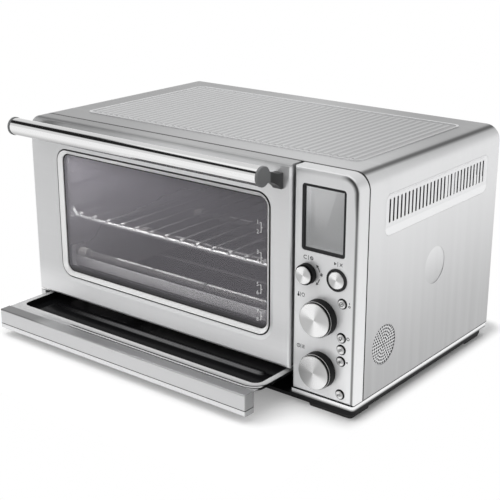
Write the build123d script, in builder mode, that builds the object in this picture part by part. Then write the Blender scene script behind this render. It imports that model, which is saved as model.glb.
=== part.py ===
from build123d import *
import math
import os

# Countertop toaster oven, millimetres. X runs to the right, Y to the back, Z up.
# The counter is Z = 0, and the middle of the footprint, drawn-out tray included, is X = Y = 0.

# Body
body_width = 480.0
body_depth = 297.5
body_height = 264.0
corner_radius = 18.0
casing_sheet = 1.0
front_depth = 18.4
front_round = 3.5
front_sheet = 0.9
rear_bulge = 44.0
rear_sheet = 1.0
rear_setback = 1.5

# Clearances
seam = 0.5
fit = 0.2
bore_clearance = 0.05
running_gap = 0.3

# Base
foot_height = 4.5
base_floor = 4.0
base_inset = 3.5
base_wall = 4.0
trim_bottom = 12.4
trim_height = 5.2
trim_width = 4.5
casing_bottom = 18.0

# Door
panel_width = 78.5
door_gap = 4.0
door_bottom = 37.4
door_window_left = 44.0
door_window_right = 27.0
door_window_sill = 28.3
door_window_head = 35.0
door_window_radius = 17.0
window_rim = 6.0
window_rim_depth = 1.4
window_dish_width = 4.6
window_dish_depth = 1.2
bezel_width = 6.5
bezel_gap = 1.2
bezel_edge = 0.8
bezel_drop = 3.6
bezel_inset = 0.6
bezel_flange = 4.0
bezel_flange_sheet = 1.0
bezel_depth = 4.8
glass_thickness = 4.0
glass_lap = 5.0
inner_sheet = 0.8
hinge_depth = 8.5
hinge_height = 8.0
hinge_relief = 6.4
hinge_relief_depth = 4.9

# Handle
handle_radius = 10.2
handle_wall = 1.2
handle_standoff = 34.0
handle_below_top = 7.2
handle_inset_left = 12.0
handle_inset_right = 9.0
bracket_width = 12.0
bracket_radius = 10.8
bracket_disc = 3.2
bracket_edge = 0.6
bracket_foot_height = 17.0
bracket_foot_drop = 18.5
bracket_socket = 8.0
bracket_foot = 3.0
neck_inset = 1.4
neck_waist = 11.0

# Hinge arms and brackets
arm_sheet = 2.5
arm_radius = 76.0
arm_band = 7.0
arm_turn = 94.0
arm_post = 9.0
arm_tab_width = 11.0
arm_tab_sheet = 1.5
arm_tab_height = 26.0
pin_radius = 2.5
pin_eye = 5.0
ear_sheet = 3.0
ear_gap = 0.4
ear_flange = 14.0
ear_flange_sheet = 1.5
ear_flange_height = 16.0
slot_clearance = 0.7
arm_inset = 8.6

# Cavity
cavity_sheet = 0.8
cavity_side_gap = 25.0
cavity_panel_gap = 11.5
cavity_headroom = 24.0
cavity_foot = 36.0
cavity_rear_gap = 12.0
frame_sheet = 1.2
mouth_sill = 62.0
mouth_lintel = 4.0
frame_lip = 7.0
sill_depth = 9.5
sill_height = 21.2

# Rack and its guides
guide_low = 107.2
guide_head = 30.8
guide_count = 4
guide_depth = 8.0
guide_drop = 5.0
guide_sheet = 0.8
rack_rail_radius = 2.5
rack_wire_radius = 1.5
rack_front = 30.0
rack_back_gap = 11.0
rack_side_gap = 4.0
rack_drop = 8.8
rack_slope = 8.0
rack_corner = 3.6
rack_wire_count = 14
rack_wire_margin = 19.85
rack_wire_sides = 8
rack_rail_sides = 10

# Heating tubes
tube_radius = 5.0
tube_wall = 1.0
tube_lower = 78.0
tube_below_top = 9.0
tube_front = 52.0
tube_pitch = 113.0
cap_radius = 6.5
cap_out = 6.0
cap_in = 12.0
cap_socket = 8.0
cap_sides = 12

# Convection fan
fan_depth = 165.0
fan_radius = 48.0
fan_width = 16.0
fan_blades = 8
fan_blade_sheet = 1.2
fan_hub = 9.0
fan_shaft = 3.0
fan_side_gap = 5.0
housing_radius = 57.0
housing_depth = 27.0
housing_flange = 6.0
housing_sheet = 0.8
motor_radius = 26.0
motor_length = 30.0
motor_plate = 62.0
motor_plate_sheet = 2.0
cooling_radius = 34.0
cooling_width = 10.0
cooling_blades = 5
air_hole = 4.4
air_pitch = 11.0
air_columns = 9

# Lamp and probe
lamp_back_gap = 24.0
lamp_margin = 2.0
lamp_dome = 7.0
lamp_slope = 32.0
lamp_body = 22.0
lamp_flange = 3.0
lamp_taper = 6.0
probe_depth = 104.0
probe_above_guide = 5.0
probe_radius = 2.0
probe_length = 42.0
probe_nut = 5.0

# Control fascia
display_width = 53.6
display_left = 9.9
display_bottom = 177.0
display_head = 16.0
display_radius = 3.5
display_lip = 2.8
display_recess = 3.7
display_pane = 1.5
display_pocket = 1.3
module_depth = 7.5
carrier_depth = 8.0
carrier_sheet = 2.0
board_depth = 24.0
board_sheet = 1.6
board_margin = 5.0
post_radius = 3.0
post_inset = 11.5
post_low = 24.0
post_drop = 8.0
dial_x = 36.2
dial_heights = (108.5, 49.7)
dial_radius = 20.0
dial_face_radius = 18.6
dial_skirt = 9.0
dial_cap = 3.6
dial_gap = 0.8
dial_wall = 2.0
dial_taper = 2.0
cap_bevel = 0.7
stem_radius = 3.0
stem_end = 21.0
encoder_size = 13.0
encoder_depth = 7.0
bushing_radius = 4.6
select_x = 19.0
select_height = 153.0
select_radius = 11.3
select_face_radius = 9.7
select_skirt = 6.0
select_cap = 2.4
select_gap = 1.6
select_travel = 0.8
start_x = 54.4
start_height = 153.0
start_radius = 9.4
start_ring = 12.0
start_ring_proud = 1.2
button_x = 62.0
button_heights = (129.2, 91.6, 78.6, 65.5, 27.9)
button_radius = 4.7
button_proud = 2.0
button_gap = 0.7
button_flange = 1.0
button_travel = 1.0
button_stem = 2.0
switch_size = 6.0
switch_depth = 2.2

# Crumb tray
tray_drawn = 74.0
tray_left_gap = 10.0
tray_right_gap = 1.5
tray_bar_depth = 15.0
tray_bar_top = 33.8
tray_bar_bottom = 9.4
tray_groove = 16.3
tray_groove_width = 0.8
tray_groove_depth = 0.7
tray_sheet = 0.8
tray_bar_sheet = 1.6
tray_bar_round = 1.6
tray_front_rim = 15.0
tray_side_rim = 7.0
tray_length = 265.0
tray_well = 8.5
tray_corner = 10.0
tray_rib_depth = 55.0
tray_rib_margin = 20.5
tray_rib_width = 8.0
tray_rib_height = 1.4
runner_sheet = 2.0

# Side and top pressings
vent_front = 49.6
vent_back = 26.2
vent_drop = 28.5
vent_height = 44.9
vent_radius = 9.0
vent_recess = 1.8
vent_border = 1.0
vent_bevel_side = 3.0
vent_bevel_top = 2.6
vent_bevel_bottom = 9.0
vent_sheet = 1.0
slot_count = 28
slot_margin = 9.6
slot_width = 3.0
slot_height = 25.0
slot_drop = 6.85
slot_shift = 1.5
disc_depth = 158.0
disc_height = 131.0
disc_radius = 21.5
disc_recess = 0.5
grille_depth = 56.5
grille_height = 70.0
grille_radius = 22.6
grille_rings = 6
grille_pitch = 3.5
grille_hole = 1.2
grille_dish = 0.5
top_offset = 5.0
bead_side = 40.0
bead_front = 52.0
bead_back = 28.5
bead_band = 3.0
bead_height = 0.7
bead_radius = 10.0
rib_count = 42
rib_side = 11.4
rib_width = 5.4
rib_height = 1.0
rib_front = 6.0
rib_back = 11.0

# Rear panel and feet
bulge_margin = 14.0
bulge_taper = 10.0
bulge_round = 8.0
bulge_corner = 16.0
louvre_columns = 6
louvre_rows = 3
louvre_pitch = 9.0
louvre_row_pitch = 44.0
louvre_width = 3.0
louvre_height = 34.0
louvre_base = 140.0
gland_radius = 8.0
gland_flange = 11.0
gland_bore = 4.2
gland_height = 46.0
gland_inset = 42.0
foot_length = 58.0
foot_width = 40.0
foot_inset = 1.0
foot_corner = 6.0
foot_taper = 20.0

# Main planes worked out from the sizes above
left = -body_width / 2
right = body_width / 2
front_y = (tray_drawn - body_depth - rear_bulge) / 2
seam_y = front_y + front_depth
back_y = front_y + body_depth
front_back_y = seam_y - seam
frame_y = seam_y + seam
frame_back_y = frame_y + frame_sheet
panel_left = right - panel_width
door_right = panel_left - door_gap
door_width = door_right - left
cavity_left = left + cavity_side_gap
cavity_right = door_right - cavity_panel_gap
cavity_width = cavity_right - cavity_left
cavity_top_z = body_height - cavity_headroom
cavity_back_y = back_y + rear_bulge - rear_sheet - cavity_rear_gap
hinge_y = front_y + hinge_depth
hinge_z = door_bottom + hinge_height
door_height = body_height - door_bottom
door_window_width = door_width - door_window_left - door_window_right
door_window_height = door_height - door_window_sill - door_window_head
window_x = left + door_window_left + door_window_width / 2
window_z = door_bottom + door_window_sill + door_window_height / 2
glass_y = front_y + bezel_inset + bezel_depth
base_top = foot_height + base_floor
pieces = {}


def front_plane(y):
    """Plane across the oven at depth y, drawn in X and Z, with its normal to the front."""
    return Plane.XZ.offset(-y)


def side_plane(x):
    """Plane along the oven at width x, drawn in Y and Z, with its normal to the right."""
    return Plane.YZ.offset(x)


def inside_casing_outline():
    """Outline that fits inside the folded casing, with its two round upper corners."""
    room = casing_sheet + fit
    height = body_height - room - casing_bottom
    with BuildSketch(mode=Mode.PRIVATE) as outline:
        with Locations((0, casing_bottom + height / 2)):
            Rectangle(body_width - 2 * room, height)
        fillet(outline.vertices().sort_by(Axis.Y)[-2:], radius=corner_radius - room)
    return outline.sketch


# Casing: one folded sheet over the top and both sides, with pressed ribs on top
vent_length = body_depth - vent_front - vent_back
vent_y = front_y + vent_front + vent_length / 2
vent_top = body_height - vent_drop
vent_z = vent_top - vent_height / 2
slot_pitch = (vent_length - 2 * slot_margin) / (slot_count - 1)
bead_width = body_width - 2 * bead_side
bead_depth = body_depth - bead_front - bead_back
bead_y = front_y + bead_front + bead_depth / 2
rib_pitch = (bead_width - 2 * rib_side) / (rib_count - 1)

with BuildSketch() as rib_profile:
    with BuildLine():
        ThreePointArc((-rib_width / 2, 0), (0, rib_height), (rib_width / 2, 0))
        Line((rib_width / 2, 0), (-rib_width / 2, 0))
    make_face()

with BuildPart() as casing:
    with BuildSketch(front_plane(seam_y)) as outline:
        with Locations((0, (casing_bottom + body_height) / 2)):
            Rectangle(body_width, body_height - casing_bottom)
        fillet(outline.vertices().sort_by(Axis.Y)[-2:], radius=corner_radius)
    extrude(amount=-(back_y - seam_y))
    ends = casing.faces().sort_by(Axis.Y)
    underside = casing.faces().sort_by(Axis.Z)[0]
    offset(amount=-casing_sheet, openings=[ends[0], ends[-1], underside])
    with BuildSketch(side_plane(right)):
        with Locations((vent_y, vent_z)):
            RectangleRounded(vent_length, vent_height, vent_radius)
    extrude(amount=-body_width, mode=Mode.SUBTRACT)
    with BuildSketch(side_plane(right)):
        with Locations((front_y + grille_depth, grille_height)):
            Circle(grille_radius)
    extrude(amount=-corner_radius, mode=Mode.SUBTRACT)
    with BuildSketch(side_plane(right)):
        with Locations((front_y + disc_depth, disc_height)):
            Circle(disc_radius)
    extrude(amount=-disc_recess, mode=Mode.SUBTRACT)
    with BuildSketch(Plane.XY.offset(body_height)):
        with Locations((top_offset, bead_y)):
            RectangleRounded(bead_width, bead_depth, bead_radius)
            RectangleRounded(
                bead_width - 2 * bead_band,
                bead_depth - 2 * bead_band,
                bead_radius - bead_band,
                mode=Mode.SUBTRACT,
            )
    extrude(amount=bead_height)
    with BuildSketch(front_plane(front_y + bead_front + rib_front)):
        with Locations((top_offset, body_height)):
            with GridLocations(rib_pitch, 0, rib_count, 1):
                add(rib_profile.sketch)
    extrude(amount=-(bead_depth - rib_front - rib_back))
pieces["casing"] = casing.part

# Vent panels: dished plates with upright slots and a wide lower bevel, set in the casing sides
vent_floor_height = vent_height - 2 * vent_border - vent_bevel_top - vent_bevel_bottom
vent_floor_z = vent_top - vent_border - vent_bevel_top - vent_floor_height / 2
with BuildPart() as vent_panel_right:
    with BuildSketch(side_plane(right)):
        with Locations((vent_y, vent_z)):
            RectangleRounded(vent_length - 2 * fit, vent_height - 2 * fit, vent_radius - fit)
    extrude(amount=-(vent_recess + vent_sheet))
    with BuildSketch(side_plane(right)):
        with Locations((vent_y, vent_z)):
            RectangleRounded(
                vent_length - 2 * vent_border, vent_height - 2 * vent_border, vent_radius - vent_border
            )
    with BuildSketch(side_plane(right - vent_recess)):
        with Locations((vent_y, vent_floor_z)):
            RectangleRounded(
                vent_length - 2 * vent_border - 2 * vent_bevel_side,
                vent_floor_height,
                vent_radius - vent_border - vent_bevel_side,
            )
    loft(mode=Mode.SUBTRACT)
    with BuildSketch(side_plane(right)):
        with Locations((vent_y + slot_shift, vent_top - slot_drop - slot_height / 2)):
            with GridLocations(slot_pitch, 0, slot_count, 1):
                Rectangle(slot_width, slot_height)
    extrude(amount=-(vent_recess + vent_sheet), mode=Mode.SUBTRACT)
pieces["vent_panel_right"] = vent_panel_right.part

with BuildPart() as vent_panel_left:
    mirror(vent_panel_right.part, about=Plane.YZ)
pieces["vent_panel_left"] = vent_panel_left.part

# Side grille: a disc pierced by rings of small holes
with BuildPart() as side_grille:
    with BuildSketch(side_plane(right - grille_dish)):
        with Locations((front_y + grille_depth, grille_height)):
            Circle(grille_radius - fit)
            RegularPolygon(grille_hole, 6, mode=Mode.SUBTRACT)
        for ring in range(1, grille_rings + 1):
            with Locations((front_y + grille_depth, grille_height)):
                with PolarLocations(ring * grille_pitch, 6 * ring):
                    RegularPolygon(grille_hole, 6, mode=Mode.SUBTRACT)
    extrude(amount=-casing_sheet)
pieces["side_grille"] = side_grille.part

# Rear panel: a plate inside the casing with a deep pressed bulge behind the cavity
rear_y = back_y - rear_setback
bulge_width = cavity_width + 2 * cavity_sheet + 2 * bulge_margin
bulge_bottom = cavity_foot - bulge_margin
bulge_height = cavity_top_z + bulge_margin - bulge_bottom
bulge_x = (cavity_left + cavity_right) / 2
bulge_z = bulge_bottom + bulge_height / 2
bulge_depth = back_y + rear_bulge - rear_y
louvre_x = (cavity_right + bulge_margin + right) / 2


def bulge_block(inset):
    """Tapered block with round back edges, smaller all round by inset."""
    with BuildPart() as block:
        with BuildSketch(front_plane(rear_y)):
            with Locations((bulge_x, bulge_z)):
                RectangleRounded(bulge_width - 2 * inset, bulge_height - 2 * inset, bulge_corner - inset)
        extrude(amount=-(bulge_depth - inset), taper=bulge_taper)
        fillet(block.faces().sort_by(Axis.Y)[-1].edges(), radius=bulge_round - inset)
    return block.part


with BuildPart() as rear_panel:
    add(bulge_block(0))
    add(bulge_block(rear_sheet), mode=Mode.SUBTRACT)
    with BuildSketch(front_plane(rear_y)):
        add(inside_casing_outline())
        with Locations((bulge_x, bulge_z)):
            RectangleRounded(
                bulge_width - 2 * rear_sheet,
                bulge_height - 2 * rear_sheet,
                bulge_corner - rear_sheet,
                mode=Mode.SUBTRACT,
            )
    extrude(amount=rear_sheet)
    with BuildSketch(front_plane(rear_y)):
        with Locations((louvre_x, louvre_base)):
            with GridLocations(louvre_pitch, louvre_row_pitch, louvre_columns, louvre_rows):
                Rectangle(louvre_width, louvre_height)
        with Locations((right - gland_inset, gland_height)):
            Circle(gland_radius)
    extrude(amount=rear_sheet, mode=Mode.SUBTRACT)
pieces["rear_panel"] = rear_panel.part

# Cord gland: a flanged bush in the rear panel
with BuildPart() as cord_gland:
    with BuildSketch(front_plane(rear_y)):
        with Locations((right - gland_inset, gland_height)):
            Circle(gland_flange)
    extrude(amount=-gland_flange / 4)
    with BuildSketch(front_plane(rear_y)):
        with Locations((right - gland_inset, gland_height)):
            Circle(gland_radius - fit)
    extrude(amount=gland_flange / 2)
    with BuildSketch(front_plane(rear_y + gland_flange)):
        with Locations((right - gland_inset, gland_height)):
            Circle(gland_bore)
    extrude(amount=2 * gland_flange, mode=Mode.SUBTRACT)
    gland_back = cord_gland.faces().sort_by(Axis.Y)[-1]
    chamfer(gland_back.edges().sort_by(SortBy.RADIUS)[-1], length=gland_flange / 8)
pieces["cord_gland"] = cord_gland.part

# Base: a black moulded floor with a raised rim at the sides and back, and two tray runners
tray_left = left + tray_left_gap
tray_right = door_right - tray_right_gap
tray_width = tray_right - tray_left
tray_x = (tray_left + tray_right) / 2
base_width = body_width - 2 * base_inset
base_length = body_depth - 2 * base_inset
base_y = front_y + body_depth / 2
tray_rim = tray_bar_top - seam
runner_top = tray_rim - tray_sheet - fit

with BuildPart() as base_plate:
    with BuildSketch(Plane.XY.offset(foot_height)):
        with Locations((0, base_y)):
            RectangleRounded(base_width, base_length, corner_radius / 2)
    extrude(amount=trim_bottom - foot_height)
    with BuildSketch(Plane.XY.offset(base_top)):
        with Locations((0, base_y)):
            Rectangle(base_width - 2 * base_wall, base_length - 2 * base_wall)
        with Locations((tray_x, front_y + body_depth / 4)):
            Rectangle(tray_width + 2 * seam, body_depth / 2)
    extrude(amount=trim_bottom, mode=Mode.SUBTRACT)
    with BuildSketch(Plane.XY.offset(base_top)):
        with Locations((tray_x, (frame_back_y + back_y - base_inset - base_wall) / 2)):
            with GridLocations(tray_width - runner_sheet - 2 * fit, 0, 2, 1):
                Rectangle(runner_sheet, back_y - base_inset - base_wall - frame_back_y)
    extrude(amount=runner_top - base_top)
pieces["base_plate"] = base_plate.part

# Feet: four tapered blocks under the corners of the base
with BuildPart() as feet:
    with BuildSketch(Plane.XY.offset(foot_height)):
        with Locations((0, base_y)):
            with GridLocations(
                base_width - foot_length - 2 * foot_inset, base_length - foot_width - 2 * foot_inset, 2, 2
            ):
                RectangleRounded(foot_length, foot_width, foot_corner)
    extrude(amount=-foot_height, taper=foot_taper)
pieces["feet"] = feet.part

# Base trim: a bright strip round the sides, back and right front, under the casing
with BuildPart() as base_trim:
    with BuildSketch(Plane.XY.offset(trim_bottom)):
        with Locations((0, base_y)):
            RectangleRounded(body_width, body_depth, front_round)
            Rectangle(body_width - 2 * trim_width, body_depth - 2 * trim_width, mode=Mode.SUBTRACT)
        with Locations(((left + tray_left_gap + panel_left) / 2, front_y)):
            Rectangle(panel_left - left - tray_left_gap, body_depth / 2, mode=Mode.SUBTRACT)
    extrude(amount=trim_height)
pieces["base_trim"] = base_trim.part

# Lower left corner: the fixed front end of the casing beside the tray
corner_top = door_bottom - 2 * seam
door_sweep = math.hypot(hinge_depth - front_round, hinge_height - front_round) + front_round
with BuildPart() as lower_corner:
    with BuildSketch(front_plane(front_y)):
        with Locations((left + (tray_left_gap - seam) / 2, (casing_bottom + corner_top) / 2)):
            Rectangle(tray_left_gap - seam, corner_top - casing_bottom)
    extrude(amount=-(front_back_y - front_y))
    fillet(lower_corner.faces().sort_by(Axis.Y)[0].edges().sort_by(Axis.X)[0], radius=front_round)
    with BuildSketch(side_plane(left)):
        with Locations((hinge_y, hinge_z)):
            Circle(door_sweep + 2 * seam)
    extrude(amount=tray_left_gap, mode=Mode.SUBTRACT)
    offset(amount=-front_sheet, openings=lower_corner.faces().sort_by(Axis.Y)[-1])
pieces["lower_corner"] = lower_corner.part

# Front frame: the chassis plate round the cavity mouth, slotted for the hinges
ear_shift = arm_sheet / 2 + ear_gap + ear_sheet / 2
arm_middle_left = left + arm_inset + arm_sheet / 2
arm_middle_right = door_right - arm_inset + arm_sheet / 2
ear_middle_left = arm_middle_left - ear_shift
ear_middle_right = arm_middle_right + ear_shift
slot_y = frame_y + frame_sheet / 2 - hinge_y
slot_z = hinge_z + math.sqrt(arm_radius**2 - slot_y**2)
mouth_height = cavity_top_z - mouth_lintel - mouth_sill
panel_x = (panel_left + right) / 2
panel_height = body_height - casing_bottom
panel_z = casing_bottom + panel_height / 2

with BuildPart() as front_frame:
    with BuildSketch(front_plane(frame_y)):
        add(inside_casing_outline())
        with Locations(((cavity_left + cavity_right) / 2, mouth_sill + mouth_height / 2)):
            Rectangle(cavity_width, mouth_height, mode=Mode.SUBTRACT)
        with Locations((tray_x, (casing_bottom + cavity_foot) / 2)):
            Rectangle(tray_width + 2 * seam, cavity_foot - casing_bottom, mode=Mode.SUBTRACT)
        with Locations((arm_middle_left, slot_z), (arm_middle_right, slot_z)):
            Rectangle(arm_sheet + 2 * slot_clearance, arm_band + 6 * slot_clearance, mode=Mode.SUBTRACT)
        with Locations((ear_middle_left, hinge_z), (ear_middle_right, hinge_z)):
            Rectangle(ear_sheet + 2 * fit, 2 * pin_eye + 2 * fit, mode=Mode.SUBTRACT)
        with Locations((panel_x, panel_z)):
            Rectangle(panel_width - 2 * frame_lip, panel_height - 2 * frame_lip, mode=Mode.SUBTRACT)
    extrude(amount=-frame_sheet)
pieces["front_frame"] = front_frame.part


# Hinge brackets: ears through the front frame, with a flange behind it
def hinge_bracket(ear_middle):
    """Fixed ear with the pin's bore, its flange turned to the right."""
    with BuildPart() as bracket:
        with BuildSketch(side_plane(ear_middle - ear_sheet / 2)):
            with Locations((hinge_y, hinge_z)):
                Circle(pin_eye)
            with Locations(((hinge_y + frame_back_y + ear_flange_sheet) / 2, hinge_z)):
                Rectangle(frame_back_y + ear_flange_sheet - hinge_y, 2 * pin_eye)
            with Locations((hinge_y, hinge_z)):
                Circle(pin_radius + bore_clearance, mode=Mode.SUBTRACT)
        extrude(amount=ear_sheet)
        with BuildSketch(front_plane(frame_back_y)):
            with Locations((ear_middle + (ear_flange - ear_sheet) / 2, hinge_z)):
                Rectangle(ear_flange, ear_flange_height)
        extrude(amount=-ear_flange_sheet)
    return bracket.part


pieces["hinge_bracket_left"] = hinge_bracket(ear_middle_left)
pieces["hinge_bracket_right"] = hinge_bracket(ear_middle_right)

# Cavity panels: top, two sides and back, with the tray as the floor
cavity_front_y = frame_back_y
cavity_length = cavity_back_y - cavity_front_y
cavity_middle_y = (cavity_front_y + cavity_back_y) / 2
wall_height = cavity_top_z - cavity_foot
tube_upper = cavity_top_z - tube_below_top
tube_ys = [front_y + tube_front + tube_pitch * step for step in range(3)]
tube_places = [(y, z) for y in tube_ys for z in (tube_lower, tube_upper)]
fan_y = front_y + fan_depth
guide_pitch = (cavity_top_z - guide_head - guide_low) / (guide_count - 1)
guide_levels = [guide_low + guide_pitch * step for step in range(guide_count)]
guide_top = guide_levels[1]
rack_level = guide_top + running_gap
fan_height = guide_top + (guide_pitch - guide_drop) / 2
lamp_height = fan_height + guide_pitch
lamp_radius = (guide_pitch - guide_drop) / 2 - lamp_margin
lamp_y = back_y - lamp_back_gap - lamp_flange - lamp_radius
probe_height = guide_levels[-1] + probe_above_guide
probe_y = front_y + probe_depth

with BuildPart() as cavity_top:
    with BuildSketch(Plane.XY.offset(cavity_top_z)):
        with Locations(((cavity_left + cavity_right) / 2, cavity_middle_y)):
            Rectangle(cavity_width + 2 * cavity_sheet, cavity_length)
    extrude(amount=cavity_sheet)
pieces["cavity_top"] = cavity_top.part

with BuildPart() as cavity_left_wall:
    with BuildSketch(side_plane(cavity_left)):
        with Locations((cavity_middle_y, cavity_foot + wall_height / 2)):
            Rectangle(cavity_length, wall_height)
        with Locations(*tube_places):
            RegularPolygon(cap_radius + fit, cap_sides, mode=Mode.SUBTRACT)
    extrude(amount=-cavity_sheet)
pieces["cavity_left"] = cavity_left_wall.part

with BuildPart() as cavity_right_wall:
    with BuildSketch(side_plane(cavity_right)):
        with Locations((cavity_middle_y, cavity_foot + wall_height / 2)):
            Rectangle(cavity_length, wall_height)
        with Locations(*tube_places):
            RegularPolygon(cap_radius + fit, cap_sides, mode=Mode.SUBTRACT)
        with Locations((fan_y, fan_height)):
            with GridLocations(air_pitch, guide_pitch, air_columns, guide_count - 1):
                RegularPolygon(air_hole, 6, mode=Mode.SUBTRACT)
        with Locations((lamp_y, lamp_height)):
            Circle(lamp_radius, mode=Mode.SUBTRACT)
        with Locations((probe_y, probe_height)):
            Circle(probe_radius + fit, mode=Mode.SUBTRACT)
    extrude(amount=cavity_sheet)
pieces["cavity_right"] = cavity_right_wall.part

with BuildPart() as cavity_back:
    with BuildSketch(front_plane(cavity_back_y)):
        with Locations(((cavity_left + cavity_right) / 2, cavity_foot + (wall_height + cavity_sheet) / 2)):
            Rectangle(cavity_width + 2 * cavity_sheet, wall_height + cavity_sheet)
    extrude(amount=-cavity_sheet)
pieces["cavity_back"] = cavity_back.part

# Front sill: an angle across the mouth in front of the first lower tube
with BuildPart() as front_sill:
    with BuildSketch(side_plane(cavity_left + fit)):
        with Locations((cavity_front_y, mouth_sill - cavity_sheet)):
            Rectangle(sill_depth, cavity_sheet, align=(Align.MIN, Align.MIN))
        with Locations((cavity_front_y + sill_depth, mouth_sill - cavity_sheet)):
            Rectangle(cavity_sheet, sill_height, align=(Align.MIN, Align.MIN))
    extrude(amount=cavity_width - 2 * fit)
pieces["front_sill"] = front_sill.part

# Rack guides: four ledges on each side wall
guide_start = cavity_front_y + 2 * seam
guide_length = cavity_back_y - 2 * seam - guide_start
with BuildPart() as rack_guide_left:
    with BuildSketch(front_plane(guide_start)):
        for level in guide_levels:
            with Locations((cavity_left, level)):
                Rectangle(guide_depth, guide_sheet, align=(Align.MIN, Align.MAX))
                Rectangle(guide_sheet, guide_drop, align=(Align.MIN, Align.MAX))
    extrude(amount=-guide_length)
pieces["rack_guide_left"] = rack_guide_left.part

with BuildPart() as rack_guide_right:
    mirror(rack_guide_left.part, about=side_plane((cavity_left + cavity_right) / 2))
pieces["rack_guide_right"] = rack_guide_right.part


# Heating tubes: quartz tubes held at both ends in ceramic caps
def heating_tubes(height):
    """Three hollow tubes across the cavity at one height."""
    with BuildPart() as tubes:
        with BuildSketch(side_plane(cavity_left + cap_in - cap_socket)):
            with Locations(*[(y, height) for y in tube_ys]):
                Circle(tube_radius)
                Circle(tube_radius - tube_wall, mode=Mode.SUBTRACT)
        extrude(amount=cavity_width - 2 * (cap_in - cap_socket))
    return tubes.part


pieces["upper_tubes"] = heating_tubes(tube_upper)
pieces["lower_tubes"] = heating_tubes(tube_lower)

with BuildPart() as element_caps:
    with BuildSketch(side_plane(cavity_left - cap_out)):
        with Locations(*tube_places):
            RegularPolygon(cap_radius, cap_sides)
    extrude(amount=cap_out + cap_in)
    with BuildSketch(side_plane(cavity_left + cap_in - cap_socket)):
        with Locations(*tube_places):
            Circle(tube_radius + bore_clearance)
    extrude(amount=cap_socket, mode=Mode.SUBTRACT)
    mirror(about=side_plane((cavity_left + cavity_right) / 2))
pieces["element_caps"] = element_caps.part

# Fan housing: a flanged cup on the outside of the right wall
housing_x = cavity_right + cavity_sheet
housing_back_x = housing_x + housing_depth
with BuildPart() as fan_housing:
    with BuildSketch(side_plane(housing_x)):
        with Locations((fan_y, fan_height)):
            Circle(housing_radius + housing_flange)
    extrude(amount=housing_sheet)
    with BuildSketch(side_plane(housing_x)):
        with Locations((fan_y, fan_height)):
            Circle(housing_radius)
    extrude(amount=housing_depth)
    with BuildSketch(side_plane(housing_x)):
        with Locations((fan_y, fan_height)):
            Circle(housing_radius - housing_sheet)
    extrude(amount=housing_depth - housing_sheet, mode=Mode.SUBTRACT)
    with BuildSketch(side_plane(housing_x)):
        with Locations((fan_y, fan_height)):
            Circle(2 * fan_shaft)
    extrude(amount=housing_depth, mode=Mode.SUBTRACT)
pieces["fan_housing"] = fan_housing.part

# Fan motor: a ribbed can on a square plate, bored for its shaft
motor_back_x = housing_back_x + motor_plate_sheet + motor_length
with BuildPart() as fan_motor:
    with BuildSketch(side_plane(housing_back_x)):
        with Locations((fan_y, fan_height)):
            RectangleRounded(motor_plate, motor_plate, motor_plate / 10)
    extrude(amount=motor_plate_sheet)
    with BuildSketch(side_plane(housing_back_x + motor_plate_sheet)):
        with Locations((fan_y, fan_height)):
            Circle(motor_radius)
    extrude(amount=motor_length)
    chamfer(fan_motor.faces().sort_by(Axis.X)[-1].edges(), length=motor_radius / 6)
    with BuildSketch(side_plane(housing_back_x)):
        with Locations((fan_y, fan_height)):
            Circle(fan_shaft + bore_clearance)
    extrude(amount=motor_plate_sheet + motor_length, mode=Mode.SUBTRACT)
pieces["fan_motor"] = fan_motor.part

# Fan rotor: the shaft and a backed wheel of straight blades inside the housing
wheel_x = housing_x + fan_side_gap
with BuildPart() as fan_rotor:
    with BuildSketch(side_plane(wheel_x)):
        with Locations((fan_y, fan_height)):
            Circle(fan_shaft)
    extrude(amount=motor_back_x + cooling_width + fan_side_gap - wheel_x)
    with BuildSketch(side_plane(wheel_x)):
        with Locations((fan_y, fan_height)):
            Circle(fan_hub)
    extrude(amount=fan_width)
    with BuildSketch(side_plane(wheel_x + fan_width - fan_blade_sheet)):
        with Locations((fan_y, fan_height)):
            Circle(fan_radius)
    extrude(amount=fan_blade_sheet)
    with BuildSketch(side_plane(wheel_x)):
        with Locations((fan_y, fan_height)):
            with PolarLocations(0, fan_blades):
                with Locations((fan_radius / 2, fan_hub / 2)):
                    Rectangle(fan_radius - fan_hub, fan_blade_sheet)
    extrude(amount=fan_width)
pieces["fan_rotor"] = fan_rotor.part

# Cooling fan: pitched blades on the far end of the motor shaft
cooling_x = motor_back_x + fan_side_gap / 2
with BuildSketch() as blade_profile:
    with BuildLine():
        leading = Line((0, 0), (cooling_radius, -cooling_width / 2))
        trailing = Line((cooling_radius - fan_hub / 2, cooling_width), (0, 0))
        RadiusArc(leading @ 1, trailing @ 0, -cooling_radius)
    make_face()

with BuildPart() as cooling_fan:
    with BuildSketch(side_plane(cooling_x)):
        with Locations((fan_y, fan_height)):
            Circle(fan_hub)
    extrude(amount=cooling_width)
    with BuildSketch(side_plane(cooling_x + cooling_width / 2 - fan_blade_sheet / 2)):
        with Locations((fan_y, fan_height)):
            with PolarLocations(0, cooling_blades):
                add(blade_profile.sketch)
    extrude(amount=fan_blade_sheet)
    with BuildSketch(side_plane(cooling_x)):
        with Locations((fan_y, fan_height)):
            Circle(fan_shaft + bore_clearance)
    extrude(amount=cooling_width, mode=Mode.SUBTRACT)
pieces["cooling_fan"] = cooling_fan.part

# Lamp: a glass dome in the right wall and its holder behind
with BuildPart() as lamp_lens:
    with BuildSketch(side_plane(cavity_right + cavity_sheet)):
        with Locations((lamp_y, lamp_height)):
            Circle(lamp_radius - fit)
    extrude(amount=-cavity_sheet)
    extrude(lamp_lens.faces().sort_by(Axis.X)[0], amount=lamp_dome, taper=lamp_slope)
pieces["lamp_lens"] = lamp_lens.part

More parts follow.
